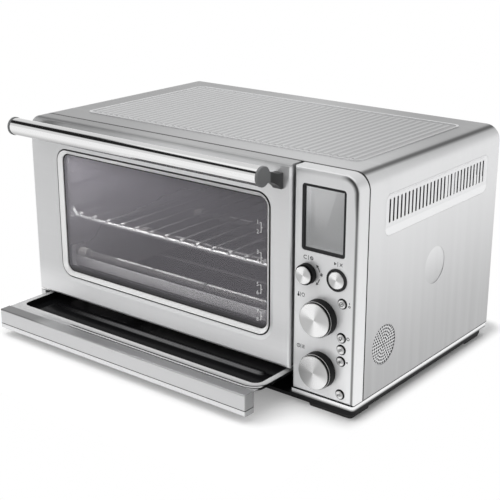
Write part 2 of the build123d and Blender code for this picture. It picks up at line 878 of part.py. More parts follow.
with BuildPart() as lamp_holder:
    with BuildSketch(side_plane(cavity_right + cavity_sheet)):
        with Locations((lamp_y, lamp_height)):
            Circle(lamp_radius + lamp_flange)
    extrude(amount=lamp_flange)
    with BuildSketch(side_plane(cavity_right + cavity_sheet + lamp_flange)):
        with Locations((lamp_y, lamp_height)):
            Circle(lamp_radius)
    extrude(amount=lamp_body, taper=lamp_taper)
pieces["lamp_holder"] = lamp_holder.part

# Temperature probe: a rod into the cavity with a nut outside the wall
with BuildPart() as temperature_probe:
    with BuildSketch(side_plane(cavity_right + cavity_sheet)):
        with Locations((probe_y, probe_height)):
            Circle(probe_radius)
    extrude(amount=-probe_length)
    with BuildSketch(side_plane(cavity_right + cavity_sheet)):
        with Locations((probe_y, probe_height)):
            RegularPolygon(probe_nut, 6)
    extrude(amount=probe_nut)
pieces["temperature_probe"] = temperature_probe.part

# Control fascia: a folded front with openings for the display, dials and buttons
display_height = body_height - display_head - display_bottom
display_x = panel_left + display_left + display_width / 2
display_z = display_bottom + display_height / 2
dial_places = [(panel_left + dial_x, height) for height in dial_heights]
select_place = (panel_left + select_x, select_height)
start_place = (panel_left + start_x, start_height)
button_places = [(panel_left + button_x, height) for height in button_heights]
stem_places = [*dial_places, select_place]

with BuildPart() as control_fascia:
    with BuildSketch(front_plane(front_y)) as outline:
        with Locations((panel_x, panel_z)):
            Rectangle(panel_width, panel_height)
        fillet(outline.vertices().group_by(Axis.X)[-1].sort_by(Axis.Y)[-1], radius=corner_radius)
    extrude(amount=-(front_back_y - front_y))
    fillet(control_fascia.faces().sort_by(Axis.Y)[0].edges(), radius=front_round)
    offset(amount=-front_sheet, openings=control_fascia.faces().sort_by(Axis.Y)[-1])
    with BuildSketch(front_plane(front_y)):
        with Locations((display_x, display_z)):
            RectangleRounded(display_width, display_height, display_radius)
        with Locations(*stem_places):
            Circle(bushing_radius)
        with Locations(start_place):
            Circle(start_ring + fit)
        with Locations(*button_places):
            Circle(button_radius + button_gap)
    extrude(amount=-front_round, mode=Mode.SUBTRACT)
pieces["control_fascia"] = control_fascia.part

# Control carrier: the black moulding behind the fascia, with the display frame and the start ring
carrier_y = front_y + carrier_depth
carrier_back_y = carrier_y + carrier_sheet
carrier_room = front_sheet + fit
pane_width = display_width - 2 * display_lip + 2 * display_pocket
pane_height = display_height - 2 * display_lip + 2 * display_pocket
pane_y = front_y + display_recess
board_y = front_y + board_depth

with BuildPart() as control_carrier:
    with BuildSketch(front_plane(carrier_y)) as outline:
        with Locations((panel_x, panel_z)):
            Rectangle(panel_width - 2 * carrier_room, panel_height - 2 * carrier_room)
        fillet(
            outline.vertices().group_by(Axis.X)[-1].sort_by(Axis.Y)[-1], radius=corner_radius - carrier_room
        )
    extrude(amount=-(frame_y - carrier_y))
    with BuildSketch(front_plane(carrier_back_y)):
        with Locations((panel_x, panel_z)):
            Rectangle(panel_width - 2 * frame_lip, panel_height - 2 * frame_lip)
    extrude(amount=-(frame_y - carrier_back_y), mode=Mode.SUBTRACT)
    with BuildSketch(front_plane(front_y + running_gap)):
        with Locations((display_x, display_z)):
            RectangleRounded(display_width - 2 * fit, display_height - 2 * fit, display_radius - fit)
        with Locations(start_place):
            Circle(start_ring)
    extrude(amount=-(carrier_depth - running_gap))
    with BuildSketch(front_plane(front_y + running_gap)):
        with Locations(start_place):
            Circle(start_ring)
    extrude(amount=start_ring_proud + running_gap)
    with BuildSketch(front_plane(front_y)):
        with Locations((display_x, display_z)):
            Rectangle(display_width - 2 * display_lip, display_height - 2 * display_lip)
    extrude(amount=-carrier_depth, mode=Mode.SUBTRACT)
    with BuildSketch(front_plane(pane_y)):
        with Locations((display_x, display_z)):
            Rectangle(pane_width, pane_height)
    extrude(amount=-(carrier_back_y - pane_y), mode=Mode.SUBTRACT)
    with BuildSketch(front_plane(front_y - start_ring_proud)):
        with Locations(start_place):
            Circle(start_radius + running_gap)
    extrude(amount=-(carrier_depth + start_ring_proud), mode=Mode.SUBTRACT)
    with BuildSketch(front_plane(carrier_y)):
        with Locations(*stem_places):
            Circle(bushing_radius + fit)
        with Locations(start_place, *button_places):
            Circle(button_stem + running_gap)
    extrude(amount=-carrier_sheet, mode=Mode.SUBTRACT)
    with BuildSketch(front_plane(carrier_back_y)):
        with Locations((panel_x, (casing_bottom + post_low + display_bottom - post_drop) / 2)):
            with GridLocations(
                panel_width - 2 * post_inset, display_bottom - post_drop - casing_bottom - post_low, 2, 2
            ):
                Circle(post_radius)
    extrude(amount=-(board_y - carrier_back_y))
pieces["control_carrier"] = control_carrier.part

with BuildPart() as display_window:
    with BuildSketch(front_plane(pane_y)):
        with Locations((display_x, display_z)):
            Rectangle(pane_width - 2 * fit, pane_height - 2 * fit)
    extrude(amount=-display_pane)
pieces["display_window"] = display_window.part

with BuildPart() as display_module:
    with BuildSketch(front_plane(pane_y + display_pane)):
        with Locations((display_x, display_z)):
            Rectangle(pane_width - 2 * fit, pane_height - 2 * fit)
    extrude(amount=-module_depth)
pieces["display_module"] = display_module.part

# Control board: the printed board with its encoders and switches
bushing_front_y = front_y + front_sheet + seam
with BuildPart() as control_board:
    with BuildSketch(front_plane(board_y)) as outline:
        with Locations((panel_x, panel_z)):
            Rectangle(panel_width - 2 * board_margin, panel_height - 2 * board_margin)
        fillet(
            outline.vertices().group_by(Axis.X)[-1].sort_by(Axis.Y)[-1], radius=corner_radius - board_margin
        )
    extrude(amount=-board_sheet)
    with BuildSketch(front_plane(board_y)):
        with Locations(*stem_places):
            Rectangle(encoder_size, encoder_size)
    extrude(amount=encoder_depth)
    with BuildSketch(front_plane(board_y)):
        with Locations(*stem_places):
            Circle(bushing_radius - fit)
    extrude(amount=board_y - bushing_front_y)
    with BuildSketch(front_plane(board_y)):
        with Locations(*stem_places):
            Circle(stem_radius + bore_clearance)
    extrude(amount=board_y - bushing_front_y, mode=Mode.SUBTRACT)
    with BuildSketch(front_plane(board_y)):
        with Locations(start_place, *button_places):
            Rectangle(switch_size, switch_size)
    extrude(amount=switch_depth)
pieces["control_board"] = control_board.part


# Dials: a black skirt with its stem, and a turned metal cap on its face
def dial_skirt_part(place):
    """Hollow skirt with a hub, and a stem into the encoder's bushing."""
    back_y_of_dial = front_y - dial_gap
    with BuildPart() as skirt:
        with BuildSketch(front_plane(back_y_of_dial)):
            with Locations(place):
                Circle(dial_radius)
        extrude(amount=dial_skirt, taper=dial_taper)
        with BuildSketch(front_plane(back_y_of_dial)):
            with Locations(place):
                Circle(dial_radius - dial_wall)
                Circle(bushing_radius, mode=Mode.SUBTRACT)
        extrude(amount=dial_skirt - dial_wall, mode=Mode.SUBTRACT)
        with BuildSketch(front_plane(front_y + stem_end)):
            with Locations(place):
                Circle(stem_radius)
        extrude(amount=stem_end + dial_gap + dial_wall)
    return skirt.part


def metal_cap(place, standing, radius, height):
    """Round cap with a bevelled rim, its back at a distance standing from the fascia."""
    with BuildPart() as cap:
        with BuildSketch(front_plane(front_y - standing)):
            with Locations(place):
                Circle(radius)
        extrude(amount=height)
        chamfer(cap.faces().sort_by(Axis.Y)[0].edges(), length=cap_bevel)
    return cap.part


for dial_name, place in zip(("upper_dial", "lower_dial"), dial_places):
    pieces[dial_name] = dial_skirt_part(place)
    pieces[dial_name + "_cap"] = metal_cap(place, dial_gap + dial_skirt, dial_face_radius, dial_cap)

# Select knob: turns on a shaft that also pushes in
with BuildPart() as select_knob:
    with BuildSketch(front_plane(front_y - select_gap)):
        with Locations(select_place):
            Circle(select_radius)
    extrude(amount=select_skirt, taper=dial_taper)
    with BuildSketch(front_plane(front_y - select_gap)):
        with Locations(select_place):
            Circle(stem_radius + bore_clearance)
    extrude(amount=select_skirt - dial_wall, mode=Mode.SUBTRACT)
pieces["select_knob"] = select_knob.part
pieces["select_knob_cap"] = metal_cap(select_place, select_gap + select_skirt, select_face_radius, select_cap)

with BuildPart() as select_shaft:
    with BuildSketch(front_plane(front_y + stem_end)):
        with Locations(select_place):
            Circle(stem_radius)
    extrude(amount=stem_end + select_gap + select_skirt - dial_wall - running_gap)
pieces["select_shaft"] = select_shaft.part


# Push buttons: a cap, a flange behind the fascia and a stem towards its switch
def push_button(place, radius, cap_back, flange):
    """Button that stands proud of the fascia, with its stem just clear of the switch."""
    stem_back = board_depth - switch_depth - button_travel - running_gap
    with BuildPart() as button:
        with BuildSketch(front_plane(front_y + cap_back)):
            with Locations(place):
                Circle(radius)
        extrude(amount=cap_back + button_proud)
        chamfer(button.faces().sort_by(Axis.Y)[0].edges(), length=button_proud / 3)
        with BuildSketch(front_plane(front_y + cap_back)):
            with Locations(place):
                Circle(radius + flange)
        extrude(amount=button_flange)
        with BuildSketch(front_plane(front_y + stem_back)):
            with Locations(place):
                Circle(button_stem)
        extrude(amount=stem_back - cap_back)
    return button.part


button_back = front_sheet + running_gap + button_flange
pieces["start_button"] = push_button(start_place, start_radius, carrier_depth - 2 * button_travel, 0)
for number, place in enumerate(button_places, start=1):
    pieces[f"button_{number}"] = push_button(place, button_radius, button_back, button_flange)

# Door skin: a folded front with a dished rim round its window
door_x = (left + door_right) / 2
door_z = door_bottom + door_height / 2
ear_slot = ear_sheet + 2 * slot_clearance
ear_top = hinge_z + pin_eye + slot_clearance
ear_front = hinge_depth - pin_eye - slot_clearance
rim_back_y = front_y + front_sheet + window_rim_depth

with BuildPart() as door_skin:
    with BuildSketch(front_plane(front_y)) as outline:
        with Locations((door_x, door_z)):
            Rectangle(door_width, door_height)
        fillet(outline.vertices().group_by(Axis.X)[0].sort_by(Axis.Y)[-1], radius=corner_radius)
    extrude(amount=-(front_back_y - front_y))
    fillet(door_skin.faces().sort_by(Axis.Y)[0].edges(), radius=front_round)
    offset(amount=-front_sheet, openings=door_skin.faces().sort_by(Axis.Y)[-1])
    with BuildSketch(front_plane(front_y + front_sheet)):
        with Locations((window_x, window_z)):
            RectangleRounded(
                door_window_width + 2 * window_rim,
                door_window_height + 2 * window_rim,
                door_window_radius + window_rim,
            )
    extrude(amount=-window_rim_depth)
    with BuildSketch(front_plane(front_y)):
        with Locations((window_x, window_z)):
            RectangleRounded(door_window_width, door_window_height, door_window_radius)
    extrude(amount=-front_round, mode=Mode.SUBTRACT)
    face_of_door = door_skin.faces().sort_by(Axis.Y)[0]
    chamfer(
        face_of_door.inner_wires()[0].edges(),
        length=window_dish_width,
        length2=window_dish_depth,
        reference=face_of_door,
    )
    with BuildSketch(side_plane(door_right)):
        with Locations((front_back_y, body_height)):
            Rectangle(front_back_y - front_y - front_round, door_height, align=(Align.MAX, Align.MAX))
    extrude(amount=-front_sheet, mode=Mode.SUBTRACT)
    with BuildSketch(side_plane(left)):
        with Locations((front_back_y, door_bottom)):
            Rectangle(hinge_relief_depth, hinge_relief, align=(Align.MAX, Align.MIN))
    extrude(amount=door_width, mode=Mode.SUBTRACT)
    with BuildSketch(Plane.XY.offset(door_bottom)):
        with Locations((ear_middle_left, front_y + ear_front), (ear_middle_right, front_y + ear_front)):
            Rectangle(ear_slot, front_depth, align=(Align.CENTER, Align.MIN))
    extrude(amount=ear_top - door_bottom, mode=Mode.SUBTRACT)
pieces["door_skin"] = door_skin.part

# Window bezel: a bevelled ring in the door's window, with a flange behind the skin
with BuildPart() as window_bezel:
    with BuildSketch(front_plane(front_y + bezel_inset)):
        with Locations((window_x, window_z)):
            RectangleRounded(
                door_window_width - 2 * bezel_gap,
                door_window_height - 2 * bezel_gap,
                door_window_radius - bezel_gap,
            )
            RectangleRounded(
                door_window_width - 2 * bezel_width,
                door_window_height - 2 * bezel_width,
                door_window_radius - bezel_width,
                mode=Mode.SUBTRACT,
            )
    extrude(amount=-bezel_depth)
    face_of_bezel = window_bezel.faces().sort_by(Axis.Y)[0]
    chamfer(
        face_of_bezel.inner_wires()[0].edges(),
        length=bezel_width - bezel_gap - bezel_edge,
        length2=bezel_drop,
        reference=face_of_bezel,
    )
    with BuildSketch(front_plane(rim_back_y)):
        with Locations((window_x, window_z)):
            RectangleRounded(
                door_window_width + 2 * bezel_flange,
                door_window_height + 2 * bezel_flange,
                door_window_radius + bezel_flange,
            )
            RectangleRounded(
                door_window_width - 2 * bezel_gap - bezel_edge,
                door_window_height - 2 * bezel_gap - bezel_edge,
                door_window_radius - bezel_gap,
                mode=Mode.SUBTRACT,
            )
    extrude(amount=-bezel_flange_sheet)
pieces["window_bezel"] = window_bezel.part

# Door glass: one pane behind the bezel
sight_width = door_window_width - 2 * bezel_width
sight_height = door_window_height - 2 * bezel_width
sight_radius = door_window_radius - bezel_width
with BuildPart() as door_glass:
    with BuildSketch(front_plane(glass_y)):
        with Locations((window_x, window_z)):
            RectangleRounded(
                sight_width + 2 * glass_lap, sight_height + 2 * glass_lap, sight_radius + glass_lap
            )
    extrude(amount=-glass_thickness)
pieces["door_glass"] = door_glass.part

# Door inner frame: the black back of the door, with a rim that holds the glass
inner_y = front_back_y - inner_sheet
inner_room = front_sheet + fit
inner_bottom = door_bottom + hinge_relief
inner_top = body_height - inner_room
inner_arm_z = hinge_z + math.sqrt(arm_radius**2 - (inner_y - hinge_y) ** 2)
with BuildPart() as door_inner_frame:
    with BuildSketch(front_plane(inner_y)) as outline:
        with Locations(((left + inner_room + door_right) / 2, (inner_bottom + inner_top) / 2)):
            Rectangle(door_right - left - inner_room, inner_top - inner_bottom)
        fillet(outline.vertices().group_by(Axis.X)[0].sort_by(Axis.Y)[-1], radius=corner_radius - inner_room)
    extrude(amount=-inner_sheet)
    with BuildSketch(front_plane(inner_y)):
        with Locations((window_x, window_z)):
            RectangleRounded(
                sight_width + 2 * inner_sheet, sight_height + 2 * inner_sheet, sight_radius + inner_sheet
            )
    extrude(amount=inner_y - glass_y - glass_thickness)
    with BuildSketch(front_plane(inner_y)):
        with Locations((door_right, (inner_bottom + inner_top) / 2)):
            Rectangle(front_sheet, inner_top - inner_bottom, align=(Align.MAX, Align.CENTER))
    extrude(amount=inner_y - front_y - front_round - fit)
    with BuildSketch(front_plane(glass_y + glass_thickness)):
        with Locations((window_x, window_z)):
            RectangleRounded(sight_width, sight_height, sight_radius)
    extrude(amount=-(front_back_y - glass_y - glass_thickness), mode=Mode.SUBTRACT)
    with BuildSketch(front_plane(inner_y)):
        with Locations((arm_middle_left, inner_arm_z), (arm_middle_right, inner_arm_z)):
            Rectangle(arm_sheet + 2 * fit, arm_band + 4 * fit)
        with Locations((ear_middle_left, inner_bottom), (ear_middle_right, inner_bottom)):
            Rectangle(ear_slot, ear_top - inner_bottom, align=(Align.CENTER, Align.MIN))
    extrude(amount=-inner_sheet, mode=Mode.SUBTRACT)
pieces["door_inner_frame"] = door_inner_frame.part


# Hinge arms: a post inside the door, a curved arm through the frame, and the hinge pin
def hinge_arm(arm_middle, ear_middle):
    """Arm whose curve is centred on the pin, so that it slides through its slot as the door turns."""
    tab_bottom = hinge_z + arm_tab_height / 2
    outward = math.copysign(1, ear_middle - arm_middle)
    pin_end = ear_middle + outward * (ear_sheet / 2 + ear_gap)
    with BuildPart() as arm:
        with BuildSketch(side_plane(arm_middle - arm_sheet / 2)):
            with Locations((hinge_y, hinge_z)):
                Circle(pin_eye)
                Rectangle(arm_post, arm_radius, align=(Align.CENTER, Align.MIN))
            with BuildLine():
                outer = CenterArc((hinge_y, hinge_z), arm_radius + arm_band / 2, 90 - arm_turn, arm_turn)
                inner = CenterArc((hinge_y, hinge_z), arm_radius - arm_band / 2, 90 - arm_turn, arm_turn)
                Line(outer @ 0, inner @ 0)
                Line(outer @ 1, inner @ 1)
            make_face()
            with Locations((hinge_y, tab_bottom)):
                Rectangle(inner_y - hinge_y, arm_tab_height, align=(Align.MIN, Align.MIN))
        extrude(amount=arm_sheet)
        with BuildSketch(front_plane(inner_y)):
            with Locations((arm_middle - outward * (arm_tab_width - arm_sheet) / 2, tab_bottom)):
                Rectangle(arm_tab_width, arm_tab_height, align=(Align.CENTER, Align.MIN))
        extrude(amount=arm_tab_sheet)
        with BuildSketch(side_plane(arm_middle)):
            with Locations((hinge_y, hinge_z)):
                Circle(pin_radius)
        extrude(amount=pin_end - arm_middle)
    return arm.part


pieces["hinge_arm_left"] = hinge_arm(arm_middle_left, ear_middle_left)
pieces["hinge_arm_right"] = hinge_arm(arm_middle_right, ear_middle_right)

# Handle: a round bar between two end discs, each on a waisted neck with a foot on the door
handle_y = front_y - handle_standoff
handle_z = body_height - handle_below_top
bracket_right_x = door_right - handle_inset_right
bracket_left_x = left + handle_inset_left
bar_right_x = bracket_right_x - bracket_disc
bar_left_x = bracket_left_x + bracket_disc
foot_front_y = front_y - bracket_foot
foot_top_z = body_height - bracket_foot_drop + bracket_foot_height / 2
foot_bottom_z = foot_top_z - bracket_foot_height
neck_root = bracket_radius / math.sqrt(2)
neck_upper = (handle_y + neck_root / 2, handle_z + neck_root)
neck_lower = (handle_y + neck_root, handle_z - neck_root)
waist_y = (neck_lower[0] + foot_front_y) / 2
waist_z = (handle_z + body_height - bracket_foot_drop) / 2

with BuildPart() as handle_bracket_right:
    with BuildSketch(side_plane(bracket_right_x - neck_inset)):
        with BuildLine():
            ThreePointArc(neck_upper, (waist_y, waist_z + neck_waist / 2), (foot_front_y, foot_top_z))
            Line((foot_front_y, foot_top_z), (front_y, foot_top_z))
            Line((front_y, foot_top_z), (front_y, foot_bottom_z))
            Line((front_y, foot_bottom_z), (foot_front_y, foot_bottom_z))
            ThreePointArc((foot_front_y, foot_bottom_z), (waist_y, waist_z - neck_waist / 2), neck_lower)
            Line(neck_lower, neck_upper)
        make_face()
    extrude(amount=-(bracket_width - neck_inset))
    with BuildSketch(side_plane(bracket_right_x - bracket_width)):
        with Locations((handle_y, handle_z)):
            Circle(handle_radius + bore_clearance)
    extrude(amount=bracket_width - bracket_disc, mode=Mode.SUBTRACT)
    with BuildSketch(side_plane(bar_right_x)):
        with Locations((handle_y, handle_z)):
            Circle(bracket_radius)
    extrude(amount=bracket_disc)
    disc_face = handle_bracket_right.faces().sort_by(Axis.X)[-1]
    chamfer(disc_face.edges(), length=bracket_edge)
    with BuildSketch(side_plane(bar_right_x)):
        with Locations((handle_y, handle_z)):
            Circle(handle_radius - handle_wall - bore_clearance)
    extrude(amount=-bracket_socket)
pieces["handle_bracket_right"] = handle_bracket_right.part

with BuildPart() as handle_bracket_left:
    mirror(handle_bracket_right.part, about=side_plane((bracket_left_x + bracket_right_x) / 2))
pieces["handle_bracket_left"] = handle_bracket_left.part

with BuildPart() as handle_bar:
    with BuildSketch(side_plane(bar_left_x)):
        with Locations((handle_y, handle_z)):
            Circle(handle_radius)
            Circle(handle_radius - handle_wall, mode=Mode.SUBTRACT)
    extrude(amount=bar_right_x - bar_left_x)
pieces["handle_bar"] = handle_bar.part

# Crumb tray: a hollow front bar and a shallow pan with a flat rim, drawn out of the body
tray_y = front_y - tray_drawn
pan_y = tray_y + tray_bar_depth
with BuildPart() as tray_bar:
    with BuildSketch(side_plane(tray_left)):
        with Locations((tray_y, tray_bar_bottom)):
            Rectangle(tray_bar_depth, tray_bar_top - tray_bar_bottom, align=(Align.MIN, Align.MIN))
    extrude(amount=tray_width)
    fillet(tray_bar.faces().sort_by(Axis.Y)[0].edges(), radius=tray_bar_round)
    with BuildSketch(Plane.XY.offset(tray_bar_bottom)):
        with Locations((tray_x, tray_y + tray_bar_depth / 2)):
            Rectangle(tray_width - 2 * tray_bar_sheet, tray_bar_depth - 2 * tray_bar_sheet)
    extrude(amount=tray_bar_top - tray_bar_bottom - tray_bar_sheet, mode=Mode.SUBTRACT)
    with BuildSketch(Plane.XY.offset(tray_groove)):
        with Locations((tray_x, tray_y)):
            Rectangle(tray_width, tray_bar_depth, align=(Align.CENTER, Align.MIN))
        with Locations((tray_x, tray_y + tray_groove_depth)):
            Rectangle(
                tray_width - 2 * tray_groove_depth,
                tray_bar_depth,
                align=(Align.CENTER, Align.MIN),
                mode=Mode.SUBTRACT,
            )
    extrude(amount=-tray_groove_width, mode=Mode.SUBTRACT)
pieces["tray_bar"] = tray_bar.part

rim_width = tray_width - 2 * seam
well_width = rim_width - 2 * tray_side_rim
well_length = tray_length - tray_front_rim - tray_side_rim
well_y = pan_y + tray_front_rim + well_length / 2
with BuildPart() as tray_pan:
    with BuildSketch(Plane.XY.offset(tray_rim - tray_sheet)):
        with Locations((tray_x, pan_y + tray_length / 2)):
            Rectangle(rim_width, tray_length)
    extrude(amount=tray_sheet)
    with BuildSketch(Plane.XY.offset(tray_rim)):
        with Locations((tray_x, well_y)):
            RectangleRounded(
                well_width + 2 * tray_sheet, well_length + 2 * tray_sheet, tray_corner + tray_sheet
            )
    extrude(amount=-tray_well)
    with BuildSketch(Plane.XY.offset(tray_rim)):
        with Locations((tray_x, well_y)):
            RectangleRounded(well_width, well_length, tray_corner)
    extrude(amount=-(tray_well - tray_sheet), mode=Mode.SUBTRACT)
    with BuildSketch(Plane.XY.offset(tray_rim - tray_well + tray_sheet)):
        with Locations((tray_x, pan_y + tray_rib_depth)):
            SlotOverall(well_width - 2 * tray_rib_margin, tray_rib_width)
    extrude(amount=tray_rib_height)
    chamfer(tray_pan.faces(Select.LAST).sort_by(Axis.Z)[-1].edges(), length=tray_rib_height / 2)
pieces["tray_pan"] = tray_pan.part

# Wire rack: a round-cornered frame with raised side rails, and straight wires across it
rack_left = cavity_left + rack_side_gap
rack_right = cavity_right - rack_side_gap
rack_x = (rack_left + rack_right) / 2
rack_front_y = front_y + rack_front
rack_back_y = cavity_back_y - rack_back_gap
rail_z = rack_level + rack_rail_radius
bar_z = rail_z - rack_drop
rack_shoulder = guide_depth + rack_rail_radius + 2 * seam - rack_side_gap
wire_z = bar_z + rack_rail_radius + rack_wire_radius - 2 * fit
rack_wire_pitch = (rack_right - rack_left - 2 * rack_wire_margin) / (rack_wire_count - 1)


def rack_half(cross_y, middle_y):
    """One cross bar with its two shoulders and half of each side rail."""
    with BuildPart() as half:
        with BuildLine() as path:
            FilletPolyline(
                (rack_left, middle_y, rail_z),
                (rack_left, cross_y, rail_z),
                (rack_left + rack_shoulder, cross_y, rail_z),
                (rack_left + rack_shoulder + rack_slope, cross_y, bar_z),
                (rack_right - rack_shoulder - rack_slope, cross_y, bar_z),
                (rack_right - rack_shoulder, cross_y, rail_z),
                (rack_right, cross_y, rail_z),
                (rack_right, middle_y, rail_z),
                radius=rack_corner,
            )
        with BuildSketch(front_plane(middle_y)):
            with Locations((rack_left, rail_z)):
                RegularPolygon(rack_rail_radius, rack_rail_sides)
        sweep(path=path.wires()[0], transition=Transition.RIGHT)
    return half.part


with BuildPart() as wire_rack:
    add(rack_half(rack_front_y, (rack_front_y + rack_back_y) / 2))
    add(rack_half(rack_back_y, (rack_front_y + rack_back_y) / 2))
    with BuildSketch(front_plane(rack_front_y - rack_wire_radius)):
        with Locations((rack_x, wire_z)):
            with GridLocations(rack_wire_pitch, 0, rack_wire_count, 1):
                RegularPolygon(rack_wire_radius, rack_wire_sides)
    extrude(amount=-(rack_back_y - rack_front_y + 2 * rack_wire_radius))
pieces["wire_rack"] = wire_rack.part

os.makedirs("parts", exist_ok=True)
for name, piece in pieces.items():
    piece.label = name
    export_step(piece, f"parts/{name}.step")
    print(name, len(piece.solids()), "solid", round(piece.volume), "cubic mm")
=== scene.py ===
"""Toaster oven: finishes, marks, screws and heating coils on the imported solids, and a plain studio."""
import math

import bmesh
import bpy
from bpy.props import FloatProperty, FloatVectorProperty, IntProperty, PointerProperty
from mathutils import Matrix, Vector


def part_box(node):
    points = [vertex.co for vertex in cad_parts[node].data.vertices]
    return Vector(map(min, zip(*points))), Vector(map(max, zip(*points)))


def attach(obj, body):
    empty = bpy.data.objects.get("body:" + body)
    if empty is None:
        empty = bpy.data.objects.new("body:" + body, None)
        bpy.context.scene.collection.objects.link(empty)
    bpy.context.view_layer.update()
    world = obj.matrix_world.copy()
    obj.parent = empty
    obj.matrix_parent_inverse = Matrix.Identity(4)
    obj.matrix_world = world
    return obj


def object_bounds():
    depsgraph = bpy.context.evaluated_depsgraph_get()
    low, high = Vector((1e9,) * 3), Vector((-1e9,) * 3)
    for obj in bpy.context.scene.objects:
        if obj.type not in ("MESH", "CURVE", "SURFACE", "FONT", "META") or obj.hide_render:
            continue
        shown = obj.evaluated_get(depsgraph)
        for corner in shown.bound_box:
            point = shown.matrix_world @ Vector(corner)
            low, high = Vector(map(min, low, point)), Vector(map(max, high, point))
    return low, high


bl_info = {
    "name": "Toaster oven",
    "version": (1, 0, 0),
    "blender": (4, 5, 0),
    "location": "View3D > Sidebar > Oven",
    "description": "Dresses the packed toaster oven and sets up its studio",
    "category": "Object",
}

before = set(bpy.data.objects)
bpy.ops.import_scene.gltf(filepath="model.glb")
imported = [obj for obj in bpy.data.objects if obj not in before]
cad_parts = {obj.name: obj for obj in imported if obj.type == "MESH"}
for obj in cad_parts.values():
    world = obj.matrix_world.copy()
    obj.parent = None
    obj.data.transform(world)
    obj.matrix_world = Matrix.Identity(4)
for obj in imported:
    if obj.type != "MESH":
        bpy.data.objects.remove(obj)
cad_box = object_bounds()
door_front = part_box("door_skin")[0][1]

MM = 0.001
WHITE = (1.0, 1.0, 1.0)
NO_LIGHT = (0.0, 0.0, 0.0)
DEEP_SHADE = (0.015, 0.015, 0.015)

# Stretch of a brushed finish along X, Y and Z: its lines run along each axis whose stretch is small
ACROSS = (0.01, 1.0, 1.0)
UPRIGHT = (1.0, 1.0, 0.01)
WRAPPED = (0.01, 1.0, 0.01)
PRESSED = (0.3, 0.3, 0.3)
GALVANISED = (0.2, 0.2, 0.2)

FACING_FRONT = Matrix.Rotation(math.radians(90), 4, "X")
FACING_BACK = Matrix.Rotation(math.radians(-90), 4, "X")
FACING_DOWN = Matrix.Rotation(math.radians(180), 4, "X")
FACING_RIGHT = Matrix.Rotation(math.radians(90), 4, "Z") @ FACING_FRONT


class Signal:
    """A node output that takes part in arithmetic, one Math node for each step."""

    def __init__(self, finish, output):
        self.finish = finish
        self.output = output

    def math(self, operation, first, second=0.0):
        return self.finish.add("ShaderNodeMath", {"operation": operation}, {0: first, 1: second})

    def __add__(self, other):
        return self.math("ADD", self, other)

    def __radd__(self, other):
        return self.math("ADD", other, self)

    def __sub__(self, other):
        return self.math("SUBTRACT", self, other)

    def __rsub__(self, other):
        return self.math("SUBTRACT", other, self)

    def __mul__(self, other):
        return self.math("MULTIPLY", self, other)

    def __rmul__(self, other):
        return self.math("MULTIPLY", other, self)

    def __truediv__(self, other):
        return self.math("DIVIDE", self, other)

    def __rtruediv__(self, other):
        return self.math("DIVIDE", other, self)

    def __pow__(self, other):
        return self.math("POWER", self, other)

    def __gt__(self, other):
        return self.math("GREATER_THAN", self, other)

    def __lt__(self, other):
        return self.math("LESS_THAN", self, other)

    def __abs__(self):
        return self.math("ABSOLUTE", self)

    def cosine(self):
        return self.math("COSINE", self)

    def sine(self):
        return self.math("SINE", self)

    def angle_from(self, across):
        return self.math("ARCTAN2", self, across)

    def largest(self, other):
        return self.math("MAXIMUM", self, other)

    def span(self, other):
        return (self * self + other * other) ** 0.5

    def output_named(self, name):
        return Signal(self.finish, self.output.node.outputs[name])


